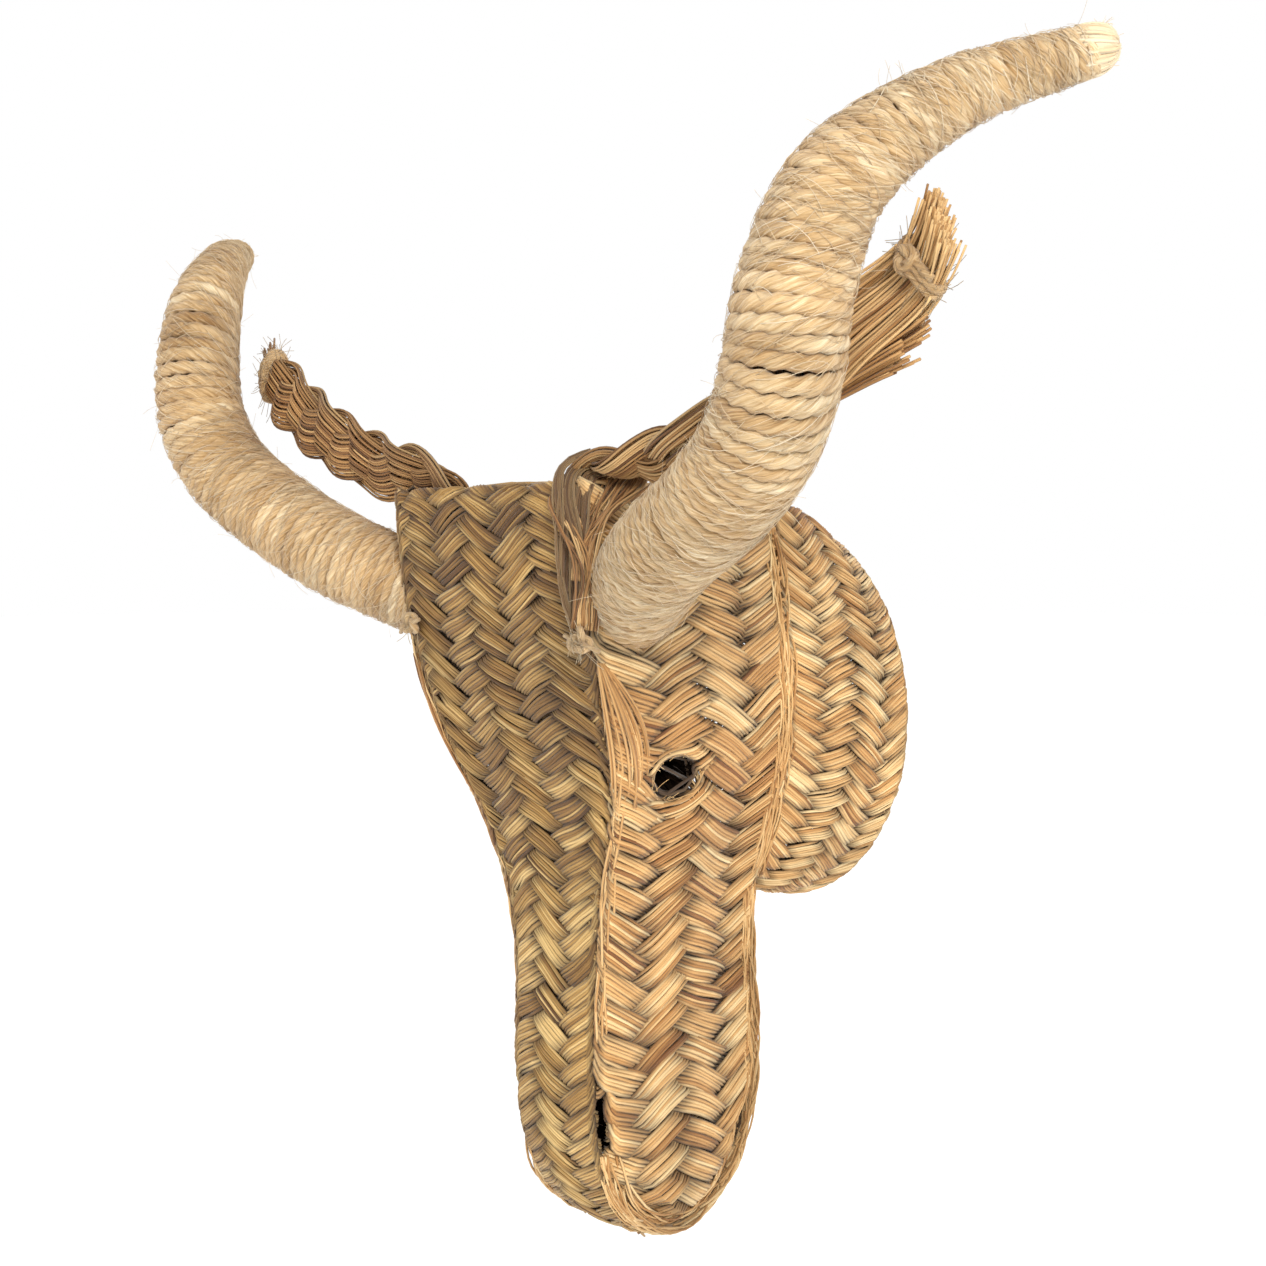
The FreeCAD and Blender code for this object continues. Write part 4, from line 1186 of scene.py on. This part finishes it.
    tie = Fibres(8)
    angle = np.linspace(0, TURN * 2.4, 90)
    place = tie_at + 2.4 + 3.4 * (angle / angle[-1] - 0.5) * 1.6
    line = at(place, 11.8 * np.cos(angle), 4.6 * np.sin(angle))
    cord(tie, line, 1.6 if right else 2.5, 0.5)
    face = -np.sign(normal[tie_at + 2][1])
    knot_at = centre[tie_at + 2] + normal[tie_at + 2] * 5.2 * face + across[tie_at + 2] * 3
    add_knot(tie, knot_at, way[tie_at], normal[tie_at], 2.2, 1.35)
    turn = np.linspace(0, TURN * 1.7, 44)
    wind = 2.2 + 2.6 * turn / turn[-1]
    coil = (knot_at + way[tie_at] * (wind * np.cos(turn))[:, None]
            + across[tie_at] * (wind * np.sin(turn))[:, None]
            + normal[tie_at] * (face * 1.2 * np.sin(turn * 0.5))[:, None])
    cord(tie, coil, 1.25, 0.5)
    hairs(tie, rng, line, unit_rows(line - centre[tie_at + 2]), way[tie_at][None] + 0 * line,
          110 if right else 190, 9.0 if right else 12.0, 0.11, 0.6)
    tie.mesh_side(side, "ear_cord", "sisal", "tie_cord", "ear_tie")


def add_knot(fibres, middle, first, second, reach, radius):
    """An overhand knot drawn tight."""
    turn = np.linspace(0, TURN, 60)
    third = np.cross(first, second)
    x = np.sin(turn) + 2 * np.sin(2 * turn)
    y = np.cos(turn) - 2 * np.cos(2 * turn)
    z = -np.sin(3 * turn)
    line = (middle + first * (x * reach * 0.62)[:, None] + third * (y * reach * 0.62)[:, None]
            + second * (z * reach * 0.5)[:, None])
    cord(fibres, line, radius, 0.6)


# ---- lashings, seams and binding


def make_knot(side):
    """The knot under the horn's root, straws lashed up beside the right horn and straws fanned
    down.
    """
    rng = np.random.default_rng(71 if side == "right" else 72)
    fibres = Fibres(8)
    middle = KNOT + np.array([3.0, -0.5, 6.0] if side == "right" else [-8.0, 2.5, 10.0])
    reach = 2.6 if side == "right" else 2.1
    add_knot(fibres, middle, np.array([1.0, 0, 0]), np.array([0, -1.0, 0]), reach, 1.5)
    for dx, dy, dz in ((-5, -1, 1.5), (6, 2, -2.5)):
        bend = middle + np.array([dx * 0.6, -1.5, dz * 0.4])
        line = spline([middle, bend, middle + np.array([dx * 1.6, dy, dz * 1.6])], 0.8)
        cord(fibres, line, 0.9, 0.6)
    hairs(fibres, rng, middle + rng.normal(0, 2, (20, 3)), np.tile([[0.3, -0.9, 0.1]], (20, 1)),
          np.tile([[0.2, 0, -1.0]], (20, 1)), 70 if side == "right" else 24, 9.0, 0.13)
    fibres.mesh_side(side, "lashing_knot", "sisal", "tie_cord", "horn_knot")

    straws = Fibres(4)
    if side == "right":
        # count of straws, tone, widths along the bundle and the points of its middle line
        bundles = (
            (40, 0.5, (12, 15, 13, 7), [(64, -166, 14), (65, -175, 8), (63.5, -183.5, -2),
                                        (61.5, -188.5, -13), (60, -190.5, -28)]),
            (26, 0.64, (3, 9, 13, 10), [(45, -188, 7), (51, -191.5, 3), (57.5, -191.5, -7),
                                        (62.5, -189, -22), (61.5, -188.5, -38),
                                        KNOT + (3.5, 0.5, 8)]),
            (44, 0.7, (3, 10, 17, 15), [KNOT + (2.5, 0.0, 8), (58.5, -189, -36), (57.5, -191, -20),
                                        (57, -192, -4), (55, -189.5, 9), (52, -183, 16),
                                        (56, -176, 19)]),
        )
        for count, shade, widths, points in bundles:
            lane = (np.arange(count) + 0.5) / count - 0.5 + rng.normal(0, 0.05, count)
            path = spline(points, 3.0)
            across, up = frames_along(path, (0.7, 0.7, 0))[1:]
            share = np.linspace(0, 1, len(path))
            swing = np.sin(np.pi * share)
            lateral = (lane[:, None] * np.interp(share, (0, 0.15, 0.6, 1), widths)
                       + 2.4 * np.sin(share * 5 + 4 * lane[:, None]) * swing
                       + 1.3 * np.sin(share * 8 + rng.uniform(0, 6, (count, 1))) * swing)
            above = rng.uniform(-1.2, 1.8, (count, 1)) * swing
            line = path + across * lateral[..., None] + up * above[..., None]
            tone = shade + rng.normal(0, 0.27, (count, 1))
            # painted shade: a little on every straw, much more on its underside
            straws.add(line, np.broadcast_to(up, line.shape), 0.52, 0.5,
                       np.clip(tone, 0.02, 0.98), 0.05, under=0.85)
        straws.mesh_side(side, "lashing_straws", "brown", "straw_brown")
    straws = Fibres(4)
    count = 26
    share = np.linspace(0, 1, 12)[None]
    reach = rng.uniform(0.55, 1.0, (count, 1))
    along = CROWN_LEVEL - KNOT[2] + 3 + share * reach * 62
    across = 1.5 + rng.uniform(0, 1, (count, 1)) * (3 + 15 * np.sin(np.pi * 0.6 * share))
    point = face_point(across, along)
    normal = -normals_of(face_point, across, along)
    above = (1.4 * np.sin(np.pi * np.clip(share * 0.9 + 0.08, 0, 1))
             + rng.normal(0, 0.4, (count, 1)) - 1.0)
    line = point + normal * above[..., None]
    # painted shade: a little on every straw, more on its underside
    straws.add(line, normal, 0.6, 0.55, 0.5 + rng.normal(0, 0.2, (count, 1)), 0.04, under=0.5)
    straws.mesh_side(side, "brow_fan", "gold", "straw_gold")


def make_seams(side):
    """Cord that zigzags across the brow seam and across the rear seam."""
    for part, first, last, stitch, swing in (("brow", 52, 240, 8.5, 1.6), ("jaw", 2, 137, 9, 2.2)):
        along = np.arange(first, last, 1.2)
        level = CROWN_LEVEL - along
        seam_x, seam_y, _, _, rear_x, rear_y = stations_at(level)
        phase = along / stitch * TURN
        bump = np.abs(np.cos(phase))
        if part == "brow":
            x, y = seam_x + swing * np.sin(phase) - 1.2, seam_y + 3.2 - 0.5 * bump
        else:
            x, y = rear_x - 1.2 + 0.8 * bump, rear_y + swing * np.sin(phase)
        fibres = Fibres(6)
        cord(fibres, np.stack([x, y, level + 2.2 * np.sin(2 * phase)], -1), 0.75, 0.45)
        fibres.mesh_side(side, f"{part}_stitches", "gold", "seam_cord", f"{part}_seam")


def make_binding():
    """Cord wound round the two wires where they overlap inside the head."""
    fibres = Fibres(8)
    angle = np.arange(0, TURN * 7.5, 0.3)
    line = BINDING + np.stack([-10.5 + 21 * angle / angle[-1], 4.2 * np.cos(angle),
                               4.2 * np.sin(angle)], -1)
    cord(fibres, line, 1.35, 0.5)
    fibres.mesh("binding_cord", "sisal", "tie_cord", ["wire_binding"])


look_camera()
make_materials()
studio()
for side in ("right", "left"):
    make_face(side)
    make_jaw(side)
make_strip("front_plait", -11.0, MUZZLE_RUN + 108.0, 21, "front_braid")
make_strip("chin_plait", MUZZLE_RUN + 109.0, float(LINE_RUN[-1]), 22, "chin_braid")
make_crown()
for side in ("right", "left"):
    make_horn(side)
    make_ear(side)
    make_knot(side)
    make_seams(side)
make_binding()
steel = steel_material()
for side in ("right", "left"):
    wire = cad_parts[f"{side}_horn_wire"]
    for slot in wire.material_slots:
        slot.material = steel
